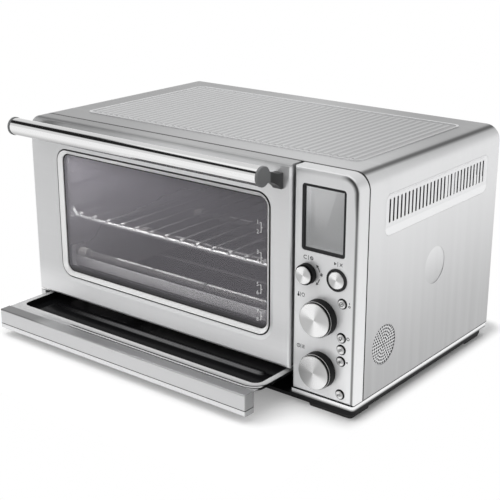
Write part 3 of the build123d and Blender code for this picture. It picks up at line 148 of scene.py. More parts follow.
class Finish:
    """The nodes of one material or world."""

    def __init__(self, owner):
        self.owner = owner
        owner.use_nodes = True
        self.tree = owner.node_tree
        self.shader = self.tree.nodes.get("Principled BSDF") or self.tree.nodes["Background"]

    def add(self, kind, settings, sockets, output=0):
        """Makes a node, sets it, then fills its sockets with signals or constants."""
        node = self.tree.nodes.new(kind)
        for name, value in settings.items():
            setattr(node, name, value)
        for name, value in sockets.items():
            self.plug(node.inputs[name], value)
        return Signal(self, node.outputs[output])

    def plug(self, socket, value):
        if isinstance(value, Signal):
            self.tree.links.new(value.output, socket)
        else:
            socket.default_value = value

    def surface(self, **values):
        """Fills the shader's sockets: base_color is its Base Color, and so on."""
        for name, value in values.items():
            self.plug(self.shader.inputs[name.replace("_", " ").title().replace("Ior", "IOR")], value)

    def place(self):
        return self.add("ShaderNodeTexCoord", {}, {}, "Object")

    def axes(self):
        x = self.add("ShaderNodeSeparateXYZ", {}, {0: self.place()})
        return x, x.output_named("Y"), x.output_named("Z")

    def noise(self, scale, detail=3.0, stretch=(1.0, 1.0, 1.0), twist=0.0):
        """Noise with about scale cycles to the metre, each axis multiplied by its stretch."""
        spread = self.add("ShaderNodeMapping", {}, {"Vector": self.place(), "Scale": stretch})
        sockets = {"Vector": spread, "Scale": scale, "Detail": detail, "Distortion": twist}
        return self.add("ShaderNodeTexNoise", {}, sockets)

    def band(self, value, low, high, to_low=0.0, to_high=1.0):
        """A smooth step of value from low to high."""
        sockets = {"Value": value, "From Min": low, "From Max": high, "To Min": to_low, "To Max": to_high}
        return self.add("ShaderNodeMapRange", {"interpolation_type": "SMOOTHSTEP"}, sockets)

    def fall(self, value, low, high):
        """As band, but from 1 down to 0."""
        return self.band(value, low, high, 1.0, 0.0)

    def outside(self, across, up, low, high, radius):
        """How far a point lies outside a rounded rectangle, negative inside it."""
        beside = abs(across - (low[0] + high[0]) / 2) - ((high[0] - low[0]) / 2 - radius)
        above = abs(up - (low[1] + high[1]) / 2) - ((high[1] - low[1]) / 2 - radius)
        corner = beside.largest(0.0).span(above.largest(0.0))
        return corner - (0.0 - beside.largest(above)).largest(0.0) - radius

    def blend(self, factor, first, second):
        """A colour between first and second."""
        colours = {}
        for socket, colour in ((6, first), (7, second)):
            colours[socket] = colour if isinstance(colour, Signal) else (*colour, 1.0)
        return self.add("ShaderNodeMix", {"data_type": "RGBA"}, {0: factor, **colours}, 2)

    def shaded(self, base, shading):
        """The base colour where a shading's signal is 1, and near black, painted shade, where it is 0."""
        return self.blend(shading(self), DEEP_SHADE, base) if shading else base

    def relief(self, height, depth, strength=1.0):
        """Bump of a height signal, depth in millimetres."""
        sockets = {"Height": height, "Distance": depth * MM, "Strength": strength}
        return self.add("ShaderNodeBump", {}, sockets)


def material(name):
    return Finish(bpy.data.materials.new(name))


def grey(level):
    return (level, level, level)


def shade(colour, share):
    return tuple(channel * share for channel in colour)


def middle(node):
    """The middle of a CAD node's box, in millimetres."""
    low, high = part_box(node)
    return [(low[axis] + high[axis]) / 2 / MM for axis in range(3)]


def brushed(name, colour, roughness, stretch, contrast=0.05, shading=None, swell=None, metallic=1.0):
    """Sheet metal with fine lines along each axis whose stretch is small, and faint handling marks.

    A shading makes a signal of painted light and shade from the finish, a swell makes one for the height of
    its surface in millimetres, and metallic is a number or another of these.
    """
    finish = material(name)
    lines = finish.noise(900.0, 4.0, stretch)
    streaks = finish.noise(150.0, 2.0, stretch)
    haze_and_glare = finish.noise(7.0, 4.0, twist=0.4)
    tone = lines * 0.45 + streaks * 0.3 + haze_and_glare * 0.25
    base = finish.blend(tone, shade(colour, 1.0 - contrast), shade(colour, 1.0 + contrast))
    base = finish.shaded(base, shading)
    grain = lines * 0.16 + haze_and_glare * 0.12
    height = lines * 0.01 + swell(finish) if swell else lines * 0.01
    bump = finish.relief(height, 1.0)
    finish.surface(base_color=base, roughness=grain + (roughness - 0.14), normal=bump)
    finish.surface(metallic=metallic(finish) if callable(metallic) else metallic)
    return finish.owner


def polished(name, colour, roughness, shading=None):
    """Plated metal with a few wipe marks, and painted shade from a shading."""
    finish = material(name)
    wipe = finish.noise(40.0, 5.0, (0.15, 1.0, 1.0), 0.6)
    base = finish.blend(wipe, shade(colour, 0.95), shade(colour, 1.03))
    base = finish.shaded(base, shading)
    finish.surface(base_color=base, metallic=1.0, roughness=wipe * 0.07 + roughness)
    return finish.owner


def moulded(name, colour, roughness, grain=0.03, gloss=0.5, shading=None):
    """Moulded plastic, rubber or paint: a fine texture, a little unevenness in its tone, and painted shade
    from a shading.
    """
    finish = material(name)
    pores = finish.noise(1600.0, 2.0)
    drift = finish.noise(14.0, 3.0)
    base = finish.blend(drift * 0.6 + pores * 0.4, shade(colour, 0.82), shade(colour, 1.18))
    base = finish.shaded(base, shading)
    bump = finish.relief(pores, grain)
    finish.surface(base_color=base, roughness=drift * 0.14 + (roughness - 0.07), normal=bump)
    finish.surface(specular_ior_level=gloss)
    return finish.owner


def coated(name, colour, roughness):
    """The speckled coating of the oven's inside."""
    finish = material(name)
    speckle = finish.noise(700.0, 3.0)
    stain = finish.noise(9.0, 5.0, twist=0.8)
    tone = finish.band(speckle, 0.42, 0.62) * 0.1 + stain * 0.9
    base = finish.blend(tone, shade(colour, 0.88), shade(colour, 1.12))
    finish.surface(base_color=base, metallic=0.35, roughness=stain * 0.2 + (roughness - 0.1))
    finish.surface(normal=finish.relief(speckle, 0.001))
    return finish.owner


def glazing(name, colour, opacity, roughness):
    """Tinted pane with a trace of smears."""
    finish = material(name)
    smear = finish.noise(11.0, 5.0, (1.0, 1.0, 0.5), 1.2)
    base = finish.blend(smear, shade(colour, 0.92), shade(colour, 1.08))
    finish.surface(base_color=base, roughness=smear * 0.04 + roughness, alpha=smear * 0.08 + (opacity - 0.04))
    return finish.owner


def turned(node, colour):
    """A face turned on a lathe, with painted fans of light such as its rings throw, and a dark rim behind it.
    """
    finish = material(f"turned_{node}")
    x, y, z = finish.axes()
    centre = middle(node)
    across = x - centre[0] * MM
    up = z - centre[2] * MM
    radius = across.span(up)
    angle = up.angle_from(across)
    rings = (radius * 9000.0).sine() * 0.5 + 0.5
    wander = finish.noise(60.0, 2.0) * 0.8
    # Painted highlight: two fans of light round the centre of the face.
    fans = ((angle - 2.2 + wander * 0.25) * 2.0).cosine() * 0.5 + 0.5
    tone = finish.band(fans, 0.12, 0.9) * 0.86 + rings * 0.14
    base = finish.blend(tone, shade(colour, 0.58), shade(colour, 1.12))
    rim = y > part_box(node)[0][1] + 0.5 * MM
    base = finish.blend(rim, base, grey(0.02))
    finish.surface(base_color=base, metallic=1.0, roughness=rings * 0.08 + 0.3 - fans * 0.06)
    finish.surface(normal=finish.relief(rings, 0.01, 0.3))
    return finish.owner


def paint(nodes, finish):
    """Gives one finish to the CAD nodes that are named, with spaces between them."""
    for node in nodes.split():
        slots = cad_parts[node].data.materials
        slots.clear()
        slots.append(finish)


def made_of(name, mesh, finish):
    """Turns a bmesh into a named object with one finish."""
    data = bpy.data.meshes.new(name)
    mesh.to_mesh(data)
    mesh.free()
    data.materials.append(finish)
    made = bpy.data.objects.new(name, data)
    bpy.context.scene.collection.objects.link(made)
    return made


def flat_piece(name, mesh, body, finish):
    """A piece that rides on a body, its faces turned as they were made."""
    made = made_of(name, mesh, finish)
    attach(made, body)
    return made


def closed_piece(name, mesh, body, finish):
    """A piece that rides on a body, its faces turned outwards."""
    bmesh.ops.recalc_face_normals(mesh, faces=mesh.faces)
    return flat_piece(name, mesh, body, finish)


def settle(mesh, parts, matrix):
    """Moves new vertices from their own millimetres to their place in metres."""
    bmesh.ops.transform(mesh, matrix=matrix, verts=parts)


def at(turn, x, y, z):
    """The place of a mark or screw: millimetres in, metres out, facing as turn says."""
    return Matrix.Translation((x * MM, y * MM, z * MM)) @ turn @ Matrix.Scale(MM, 4)


def new_since(mesh, before):
    return [vertex for vertex in mesh.verts if vertex not in before]


def spot(x, y, turn):
    """Where a stroke lies on its sign, and how it is turned."""
    return Matrix.Translation((x, y, 0.0)) @ Matrix.Rotation(math.radians(turn), 4, "Z")


def bar(mesh, place, width, height, x=0.0, y=0.0, turn=0.0):
    """A flat rectangle of a pictogram."""
    made = bmesh.ops.create_grid(mesh, x_segments=1, y_segments=1, size=0.5)["verts"]
    size = Matrix.Diagonal((width, height, 1.0, 1.0))
    settle(mesh, made, place @ spot(x, y, turn) @ size)


def disc(mesh, place, radius, x=0.0, y=0.0, sides=20, turn=0.0):
    """A flat disc or regular polygon of a pictogram."""
    made = bmesh.ops.create_circle(mesh, cap_ends=True, radius=radius, segments=sides)["verts"]
    settle(mesh, made, place @ spot(x, y, turn))


def arc(mesh, place, radius, width, x=0.0, y=0.0, start=0.0, sweep=360.0, steps=24):
    """A flat ring or part of one."""
    before = set(mesh.verts)
    seed = bmesh.ops.create_vert(mesh, co=(radius - width / 2, 0.0, 0.0))["vert"][0]
    grown = bmesh.ops.extrude_vert_indiv(mesh, verts=[seed])
    bmesh.ops.translate(mesh, verts=grown["verts"], vec=(width, 0.0, 0.0))
    bmesh.ops.spin(
        mesh, geom=[seed, *grown["verts"], *grown["edges"]], cent=(0.0, 0.0, 0.0), axis=(0.0, 0.0, 1.0),
        angle=math.radians(sweep), steps=steps, use_merge=sweep >= 360.0,
    )
    settle(mesh, new_since(mesh, before), place @ spot(x, y, start))


def numeral(mesh, place, text, height, x=0.0, y=0.0):
    """A plain number as flat faces."""
    curve = bpy.data.curves.new("numeral", "FONT")
    curve.body = text
    curve.size = height * 1.4
    curve.align_x = "CENTER"
    curve.align_y = "CENTER"
    curve.resolution_u = 3
    holder = bpy.data.objects.new("numeral", curve)
    flat = bpy.data.meshes.new_from_object(holder)
    before = set(mesh.verts)
    mesh.from_mesh(flat)
    settle(mesh, new_since(mesh, before), place @ spot(x, y, 0.0))
    bpy.data.objects.remove(holder)
    bpy.data.curves.remove(curve)
    bpy.data.meshes.remove(flat)


def screw_head(mesh, place, radius, height):
    """A pan head with a cross recess, on the plane that place faces."""
    before = set(mesh.verts)
    flat = radius * 0.6
    narrowing = 0.4
    recess = height * 0.6
    top = bmesh.ops.create_grid(mesh, x_segments=3, y_segments=3, size=flat)["verts"]
    for vertex in top:
        vertex.co.xy = (value * narrowing if abs(value) < flat / 2 else value for value in vertex.co.xy)
        vertex.co.z = height
    faces = [face for face in mesh.faces if face.verts[0] in top]
    offsets = {face: [abs(value) for value in face.calc_center_median().xy] for face in faces}
    cross = [face for face in faces if min(offsets[face]) < radius * 0.05]
    rim = [edge for edge in {edge for face in faces for edge in face.edges} if edge.is_boundary]
    sunk = bmesh.ops.extrude_face_region(mesh, geom=cross)["geom"]
    bmesh.ops.delete(mesh, geom=cross, context="FACES_ONLY")
    floor = [item for item in sunk if isinstance(item, bmesh.types.BMVert)]
    bmesh.ops.translate(mesh, verts=floor, vec=(0.0, 0.0, -recess))
    for drop, reach in ((0.1, 0.86), (0.45, 1.0), (1.0, 1.0)):
        grown = bmesh.ops.extrude_edge_only(mesh, edges=rim)["geom"]
        rim = [item for item in grown if isinstance(item, bmesh.types.BMEdge) and item.is_boundary]
        for vertex in {vertex for edge in rim for vertex in edge.verts}:
            vertex.co.xy = vertex.co.xy.normalized() * radius * reach
            vertex.co.z = height * (1.0 - drop)
    settle(mesh, new_since(mesh, before), place)


def coil(mesh, start, length, radius, wire_radius, pitch):
    """A wound resistance wire along X, all in millimetres, made of like stretches."""
    before = set(mesh.verts)
    stretches = 10
    steps_per_turn = 8
    stretch = length / stretches
    turns = int(stretch / pitch)
    steps = turns * steps_per_turn
    ring = bmesh.ops.create_circle(mesh, radius=wire_radius, segments=5)["verts"]
    settle(mesh, ring, Matrix.Translation((0.0, 0.0, radius)) @ FACING_FRONT)
    edges = list({edge for vertex in ring for edge in vertex.link_edges})
    bmesh.ops.spin(
        mesh, geom=[*ring, *edges], cent=(0.0, 0.0, 0.0), axis=(1.0, 0.0, 0.0),
        dvec=(stretch / steps, 0.0, 0.0), angle=math.tau * turns, steps=steps,
    )
    made = new_since(mesh, before)
    faces = list({face for vertex in made for face in vertex.link_faces})
    for index in range(1, stretches):
        copy = bmesh.ops.duplicate(mesh, geom=faces)["geom"]
        moved = [item for item in copy if isinstance(item, bmesh.types.BMVert)]
        bmesh.ops.translate(mesh, verts=moved, vec=(stretch * index, 0.0, 0.0))
    settle(mesh, new_since(mesh, before), at(Matrix.Identity(4), *start))


class ShellSettings(bpy.types.PropertyGroup):
    """Sheet metal of the body and door."""

    steel: FloatVectorProperty(
        name="Steel", description="Colour of brushed sheet", subtype="COLOR", default=(0.615, 0.617, 0.622)
    )
    roughness: FloatProperty(
        name="Roughness", description="Gloss of brushed sheet", subtype="FACTOR", default=0.34, min=0, max=1
    )


class MarkSettings(bpy.types.PropertyGroup):
    """Printed signs and numbers."""

    lift: FloatProperty(
        name="Lift", description="Height of the print over its face, in millimetres", default=0.03, min=0.01
    )
    ink: FloatVectorProperty(
        name="Ink", description="Colour of the fascia's signs", subtype="COLOR", default=(0.03, 0.03, 0.032)
    )
    stroke: FloatProperty(
        name="Stroke", description="Width of the signs' lines, in millimetres", default=0.75, min=0.2
    )
    number_height: FloatProperty(
        name="Number height", description="Height of the rack numbers, in millimetres", default=4.6, min=1
    )


class CavitySettings(bpy.types.PropertyGroup):
    """The inside of the oven."""

    coating: FloatVectorProperty(
        name="Coating", description="Colour of cavity walls", subtype="COLOR", default=(0.18, 0.173, 0.179)
    )
    coil_radius: FloatProperty(
        name="Coil radius", description="Radius of the wound wire, in millimetres", default=2.9, min=1
    )
    coil_pitch: FloatProperty(
        name="Coil pitch", description="Distance between turns, in millimetres", default=3.2, min=1
    )


class ScrewSettings(bpy.types.PropertyGroup):
    """Screws of the rear panel and the base."""

    radius: FloatProperty(
        name="Head radius", description="Radius of a screw head, in millimetres", default=3.4, min=1
    )
    height: FloatProperty(
        name="Head height", description="Height of a screw head, in millimetres", default=1.3, min=0.5
    )


class StageSettings(bpy.types.PropertyGroup):
    """Floor, lamps and camera."""

    lens: FloatProperty(
        name="Lens", description="Focal length on a 36 mm sensor", subtype="DISTANCE_CAMERA", default=80.22
    )
    camera_place: FloatVectorProperty(
        name="Camera", description="Where the camera stands", subtype="TRANSLATION",
        default=(0.80361, -1.01432, 0.54551),
    )
    azimuth: FloatProperty(
        name="Azimuth", description="How far the camera stands to the right", subtype="ANGLE",
        default=math.radians(38.471),
    )
    elevation: FloatProperty(
        name="Elevation", description="How far the camera looks down", subtype="ANGLE",
        default=math.radians(18.844),
    )
    fill: FloatProperty(
        name="Fill", description="Level of the even light from all round", default=0.5, min=0
    )
    floor_glow: FloatProperty(
        name="Floor glow", description="What brings the lit floor up to white", default=0.24, min=0
    )
    floor_near: FloatProperty(
        name="Fade start", description="Where the floor starts to fade", subtype="DISTANCE", default=-0.004
    )
    floor_far: FloatProperty(
        name="Fade end", description="Where the floor is plain white", subtype="DISTANCE", default=0.015
    )
    wall_segments: IntProperty(
        name="Wall segments", description="Sides of the grey studio wall", default=96, min=12
    )


class OVEN_OT_shell(bpy.types.Operator):
    """Finish the sheet metal of the body, door and rear"""

    bl_idname = "oven.shell"
    bl_label = "Finish shell"

    def execute(self, context):
        options = context.scene.oven_shell
        steel = tuple(options.steel)
        rough = options.roughness
        # The one steel is scaled brighter or darker for each part: painted light and shade that set how lit
        # each part looks.
        paint("casing", brushed(
            "steel_wrapped", shade(steel, 1.3), rough, WRAPPED,
            shading=self.casing_shade, metallic=self.casing_metal,
        ))
        paint("door_skin", brushed(
            "steel_across", shade(steel, 1.35), rough, ACROSS,
            shading=self.door_shade, swell=self.door_swell, metallic=0.6,
        ))
        paint("control_fascia", brushed(
            "steel_upright", shade(steel, 1.5), rough, UPRIGHT, shading=self.fascia_shade, metallic=0.4
        ))
        vents = brushed("steel_pressed", shade(steel, 1.46), rough, PRESSED, shading=self.vent_shade)
        paint("vent_panel_left vent_panel_right", vents)
        paint("base_trim", brushed("steel_trim", shade(steel, 1.5), 0.24, PRESSED, shading=self.trim_shade))
        paint("lower_corner", brushed("steel_corner", steel, rough, WRAPPED))
        paint("side_grille", brushed("steel_grille", shade(steel, 1.15), 0.36, PRESSED))
        paint("door_inner_frame", brushed("steel_inner", shade(steel, 0.85), 0.4, ACROSS))
        zinc = brushed("zinc_sheet", (0.5, 0.51, 0.52), 0.42, GALVANISED, 0.12)
        paint("rear_panel hinge_bracket_left hinge_bracket_right", zinc)
        arms = brushed("zinc_arms", (0.46, 0.46, 0.47), 0.4, GALVANISED, 0.12)
        paint("hinge_arm_left hinge_arm_right", arms)
        dark = moulded("dark_inside", (0.02, 0.02, 0.021), 0.5, 0.006, 0.2)
        paint("front_frame control_carrier", dark)
        paint("base_plate", moulded("base_paint", (0.014, 0.014, 0.015), 0.5, 0.004, 0.15))
        paint("feet", moulded("foot_rubber", grey(0.012), 0.7, 0.08))
        paint("cord_gland", moulded("gland_plastic", (0.02, 0.02, 0.021), 0.5))
        self.grille(context.scene.oven_marks.lift)
        return {"FINISHED"}

    def grille(self, lift):
        """Painted shade round the side grille's holes, ring by ring."""
        pitch = 3.5
        hole_radius = 1.15
        shade_width = 0.4
        _, y, z = middle("side_grille")
        place = at(FACING_RIGHT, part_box("side_grille")[1][0] / MM + lift, y, z)
        mesh = bmesh.new()
        for ring in range(7):
            holes = max(1, 6 * ring)
            for index in range(holes):
                angle = math.tau * index / holes
                across = pitch * ring * math.cos(angle)
                up = pitch * ring * math.sin(angle)
                arc(mesh, place, hole_radius, shade_width, across, up, steps=8)
        shadow = moulded("grille_shadow", grey(0.02), 0.6)
        flat_piece("grille_hole_shade", mesh, "oven", shadow)

    def casing_shade(self, finish):
        """Painted shade in the seams at the cut edges, and painted dark reflections on the shoulders between
        the sides and the top.
        """
        x, y, z = finish.axes()
        low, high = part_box("casing")
        beside = finish.band(abs(x), high[0] - 12.0 * MM, high[0])
        # Painted shade in the seams along the front and lower cut edges.
        edge = finish.band(y + beside * 1.6 * MM, low[1] + 2.8 * MM, low[1] + 3.4 * MM)
        edge = edge * finish.band(z, low[2] + 0.4 * MM, low[2] + 0.9 * MM)
        # Painted dark reflection on the rounded shoulders between the sides and the top.
        turn = (z - (high[2] - 19.0 * MM)).angle_from(abs(x) - (high[0] - 18.0 * MM))
        shoulder = finish.band(turn, 0.85, 1.12) * finish.fall(turn, 1.18, 1.45)
        side = self.side_shade(finish, x, y, z)
        top = self.top_shade(finish, x, y, z)
        return edge * (1.0 - shoulder * 0.78) * (beside * side + (1.0 - beside) * top)

    def side_shade(self, finish, x, y, z):
        """Painted shade that deepens down the sides, with streaks that grow downwards, and a painted
        highlight on the disc pressed into the right one.
        """
        streaks = finish.noise(70.0, 3.0, (0.0, 1.0, 0.03)) - 0.5
        # Painted shade that deepens towards the bottom of the sides.
        below = finish.fall(z, 0.01, 0.24)
        across = y - (door_front + 158.0 * MM)
        up = z - 131.0 * MM
        dish = finish.fall(across.span(up), 20.7 * MM, 21.7 * MM)
        # Painted highlight on the pressed disc, brighter towards its top.
        pressed = dish * finish.band(x, 0.2, 0.23) * (up * 5.0 + 0.04)
        return pressed - below * 0.42 + streaks * (below * 0.12 + 0.04) + 0.98

    def top_shade(self, finish, x, y, z):
        """Painted light and shade on the top: highlights on the rib tops and on the bead's far and left runs,
        and tones graded across the panel inside the bead and the border round it.
        """
        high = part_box("casing")[1]
        # Painted highlight on the rib tops.
        ribs = finish.band(z, high[2] - 0.6 * MM, high[2] - 0.1 * MM, 0.0, 0.18)
        inward = self.bead_inward(finish, x, y)
        inside = finish.band(inward, -0.2, 0.2)
        # Painted highlight on the far and left runs of the bead.
        far = finish.band(y, 0.12, 0.13).largest(finish.fall(x, -0.19, -0.18))
        bead = inside * finish.band(inward, 2.8, 3.2, 0.4, 0.0) * far
        # Painted light and shade graded across the panel and the border.
        panel = bead + finish.band(x + y * 0.8, 0.0, 0.3, 0.77, 0.58)
        border = finish.band(x, -0.24, 0.24, 0.48, 0.92) - finish.band(x + y * 0.8, 0.08, 0.3, 0.0, 0.4)
        return ribs + inside * panel + (1.0 - inside) * border

    def bead_inward(self, finish, x, y):
        """How far a point of the top lies inside the bead's outer edge, in millimetres."""
        low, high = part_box("casing")
        corners = (low[0] + 45.0 * MM, door_front + 52.0 * MM), (high[0] - 35.0 * MM, high[1] - 28.5 * MM)
        return finish.outside(x, y, *corners, 10.0 * MM) / -MM

    def casing_metal(self, finish):
        """Bare metal all over, dull on the steps of the bead and the front ends of the ribs."""
        x, y, _ = finish.axes()
        steps = abs(abs(self.bead_inward(finish, x, y) - 1.5) - 1.5)
        ends = abs(y - (door_front + 58.0 * MM))
        return finish.band(steps, 0.1, 0.25) * finish.band(ends, 0.2 * MM, 0.4 * MM) * 0.8 + 0.2

    def trim_shade(self, finish):
        """A painted highlight on the upper edge that falls off into painted shade downwards."""
        _, _, z = finish.axes()
        low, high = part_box("base_trim")
        return finish.band(z, low[2], high[2] - 2.0 * MM, 0.15, 1.0)

    def vent_shade(self, finish):
        """A painted highlight on the lower bevel."""
        _, _, z = finish.axes()
        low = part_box("vent_panel_right")[0]
        return finish.band(z, low[2] + 7.5 * MM, low[2] + 8.5 * MM, 1.0, 0.92)

    def door_shade(self, finish):
        """Painted shade on the top edge, a painted highlight on the lower rail, and painted light graded
        across the front.
        """
        x, _, z = finish.axes()
        low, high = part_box("door_skin")
        # Painted shade on the top edge, deeper to the left, and a painted highlight on the lower rail.
        left = finish.fall(x, -0.16, 0.02)
        flat = finish.band(z, high[2] - 5.0 * MM, high[2] - 1.0 * MM)
        rolled = finish.band(z, high[2] - 16.0 * MM, high[2] - 10.0 * MM)
        top = (1.0 - flat) * (0.95 - left * 0.45) + flat * (0.5 - left * 0.2)
        rail = finish.band(z, low[2] + 0.01, low[2] + 0.045, 0.2, 0.0)
        front = finish.band(x, -0.24, 0.15, 0.77, 0.84) + rail
        return front * (1.0 - rolled) + top * rolled

    def door_swell(self, finish):
        """A lower rail that leans back, so that it mirrors the room and not the tray."""
        _, _, z = finish.axes()
        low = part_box("door_skin")[0]
        reach = (1.0 - (z - low[2]) / 0.05).largest(0.0)
        return reach * reach * 5.6

    def fascia_shade(self, finish):
        """Painted shade along the lower edge, a painted dark reflection in the crease where the front turns
        into the side, a painted highlight on the side, and painted light on the front that grows downwards.
        """
        x, _, z = finish.axes()
        low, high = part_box("control_fascia")
        beyond = 50.0 * MM
        corners = (low[0] - beyond, low[2] - beyond), (high[0], high[2])
        inward = finish.outside(x, z, *corners, 18.0 * MM) / -MM
        wide = finish.band(z, high[2] - 0.05, high[2] - 0.012, 4.6, 7.5)
        # Painted dark reflection in the crease, strongest towards the top right corner.
        crease = finish.band(inward, 0.7, 1.9) * finish.fall(inward, 2.8, wide)
        deep = finish.band(z, high[2] - 0.06, high[2] - 0.016, 0.75, 0.95)
        crease = crease * deep * finish.band(x, high[0] - 0.024, high[0] - 0.01, 0.22, 1.0)
        # Painted highlight on the side, dimmer at the top, and painted light on the front that grows
        # downwards.
        wall = finish.band(z, high[2] - 0.014, high[2] - 0.006, 0.98, 0.68)
        face = finish.band(inward, 0.2, 0.9, wall, finish.band(z, 0.02, 0.2, 1.0, 0.8))
        return finish.band(z, low[2] + 0.4 * MM, low[2] + 0.9 * MM) * face * (1.0 - crease)


class OVEN_OT_handle(bpy.types.Operator):
    """Finish the handle bar and its brackets"""

    bl_idname = "oven.handle"
    bl_label = "Finish handle"

    def execute(self, context):
        paint("handle_bar", polished("bar_plating", grey(0.86), 0.05, self.bar_shade))
        bracket = moulded("bracket_plastic", (0.145, 0.148, 0.15), 0.36, shading=self.arm_shade)
        paint("handle_bracket_left handle_bracket_right", bracket)
        return {"FINISHED"}

    def arm_shade(self, finish):
        """An arm that is darker than the disc before it."""
        _, y, _ = finish.axes()
        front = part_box("handle_bracket_right")[0][1]
        return finish.band(y, front + 22.0 * MM, front + 25.0 * MM, 1.0, 0.1)

    def bar_shade(self, finish):
        """Painted shade on the bar's underside."""
        _, _, z = finish.axes()
        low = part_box("handle_bar")[0]
        axis = middle("handle_bar")[2] * MM
        return finish.band(z, low[2] + 0.5 * MM, axis - 1.0 * MM, 0.32, 1.0)


class OVEN_OT_window(bpy.types.Operator):
    """Finish the door window and print the rack numbers on its glass"""

    bl_idname = "oven.window"
    bl_label = "Finish window"

    def execute(self, context):
        paint("window_bezel", brushed(
            "bezel_steel", grey(0.93), 0.36, (0.05, 1.0, 1.0), shading=self.bezel_shade, metallic=0.45
        ))
        self.glass()
        self.rack_numbers(context.scene.oven_marks)
        return {"FINISHED"}

    def rack_numbers(self, options):
        """Four pairs of numbers, each pair joined by a bracket."""
        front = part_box("door_glass")[0][1] / MM - options.lift
        column = 112.5
        line = 0.8
        stub = 1.6
        number = 0
        mesh = bmesh.new()
        for heights in ((193.0, 182.2), (159.4, 149.0), (122.6, 113.0), (91.4, 82.0)):
            for height in heights:
                number += 1
                place = at(FACING_FRONT, column, front, height)
                numeral(mesh, place, str(number), options.number_height, x=-2.4)
                bar(mesh, place, stub, line, x=1.2)
            upper, lower = heights
            place = at(FACING_FRONT, column, front, (upper + lower) / 2)
            bar(mesh, place, line, upper - lower + line, x=2.2)
            bar(mesh, place, stub, line, x=3.2)
        ink = moulded("number_ink", grey(0.84), 0.55)
        flat_piece("rack_numbers", mesh, "door", ink)

    def inward(self, finish):
        """How far a point lies inside the door's window opening, in millimetres."""
        x, _, z = finish.axes()
        low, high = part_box("window_bezel")
        flange = 4.0 * MM
        corners = (low[0] + flange, low[2] + flange), (high[0] - flange, high[2] - flange)
        return finish.outside(x, z, *corners, 17.0 * MM) / -MM

    def bezel_shade(self, finish):
        """A line of painted shade in the gap where the bezel meets the door."""
        return finish.band(self.inward(finish), 1.6, 2.0)

    def glass(self):
        """A smoked pane with a painted reflection that lightens it towards its upper left and painted shade
        along its bottom, with a black gasket round its edge.
        """
        finish = material("door_glazing")
        x, _, z = finish.axes()
        smear = finish.noise(11.0, 5.0, (1.0, 1.0, 0.5), 1.2)
        # Painted reflection lightening the pane towards its upper left.
        haze_and_glare = finish.band(z * 3.0 - x * 1.6 + smear * 0.05, 0.42, 1.0)
        gasket = finish.fall(self.inward(finish), 8.0, 8.4)
        tint = finish.blend(haze_and_glare, (0.15, 0.143, 0.16), (0.37, 0.355, 0.394))
        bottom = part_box("door_glass")[0][2]
        # Painted shade along the bottom of the pane.
        foot = finish.fall(z, bottom + 9.3 * MM, bottom + 13.3 * MM)
        tint = finish.blend(foot, tint, (0.045, 0.043, 0.047))
        finish.surface(base_color=finish.blend(gasket, tint, grey(0.012)))
        finish.surface(specular_ior_level=0.35)
        finish.surface(roughness=smear * 0.04 + foot * 0.35 + 0.03)
        finish.surface(alpha=(smear * 0.06 + foot * 0.35 + 0.59).largest(gasket))
        paint("door_glass", finish.owner)


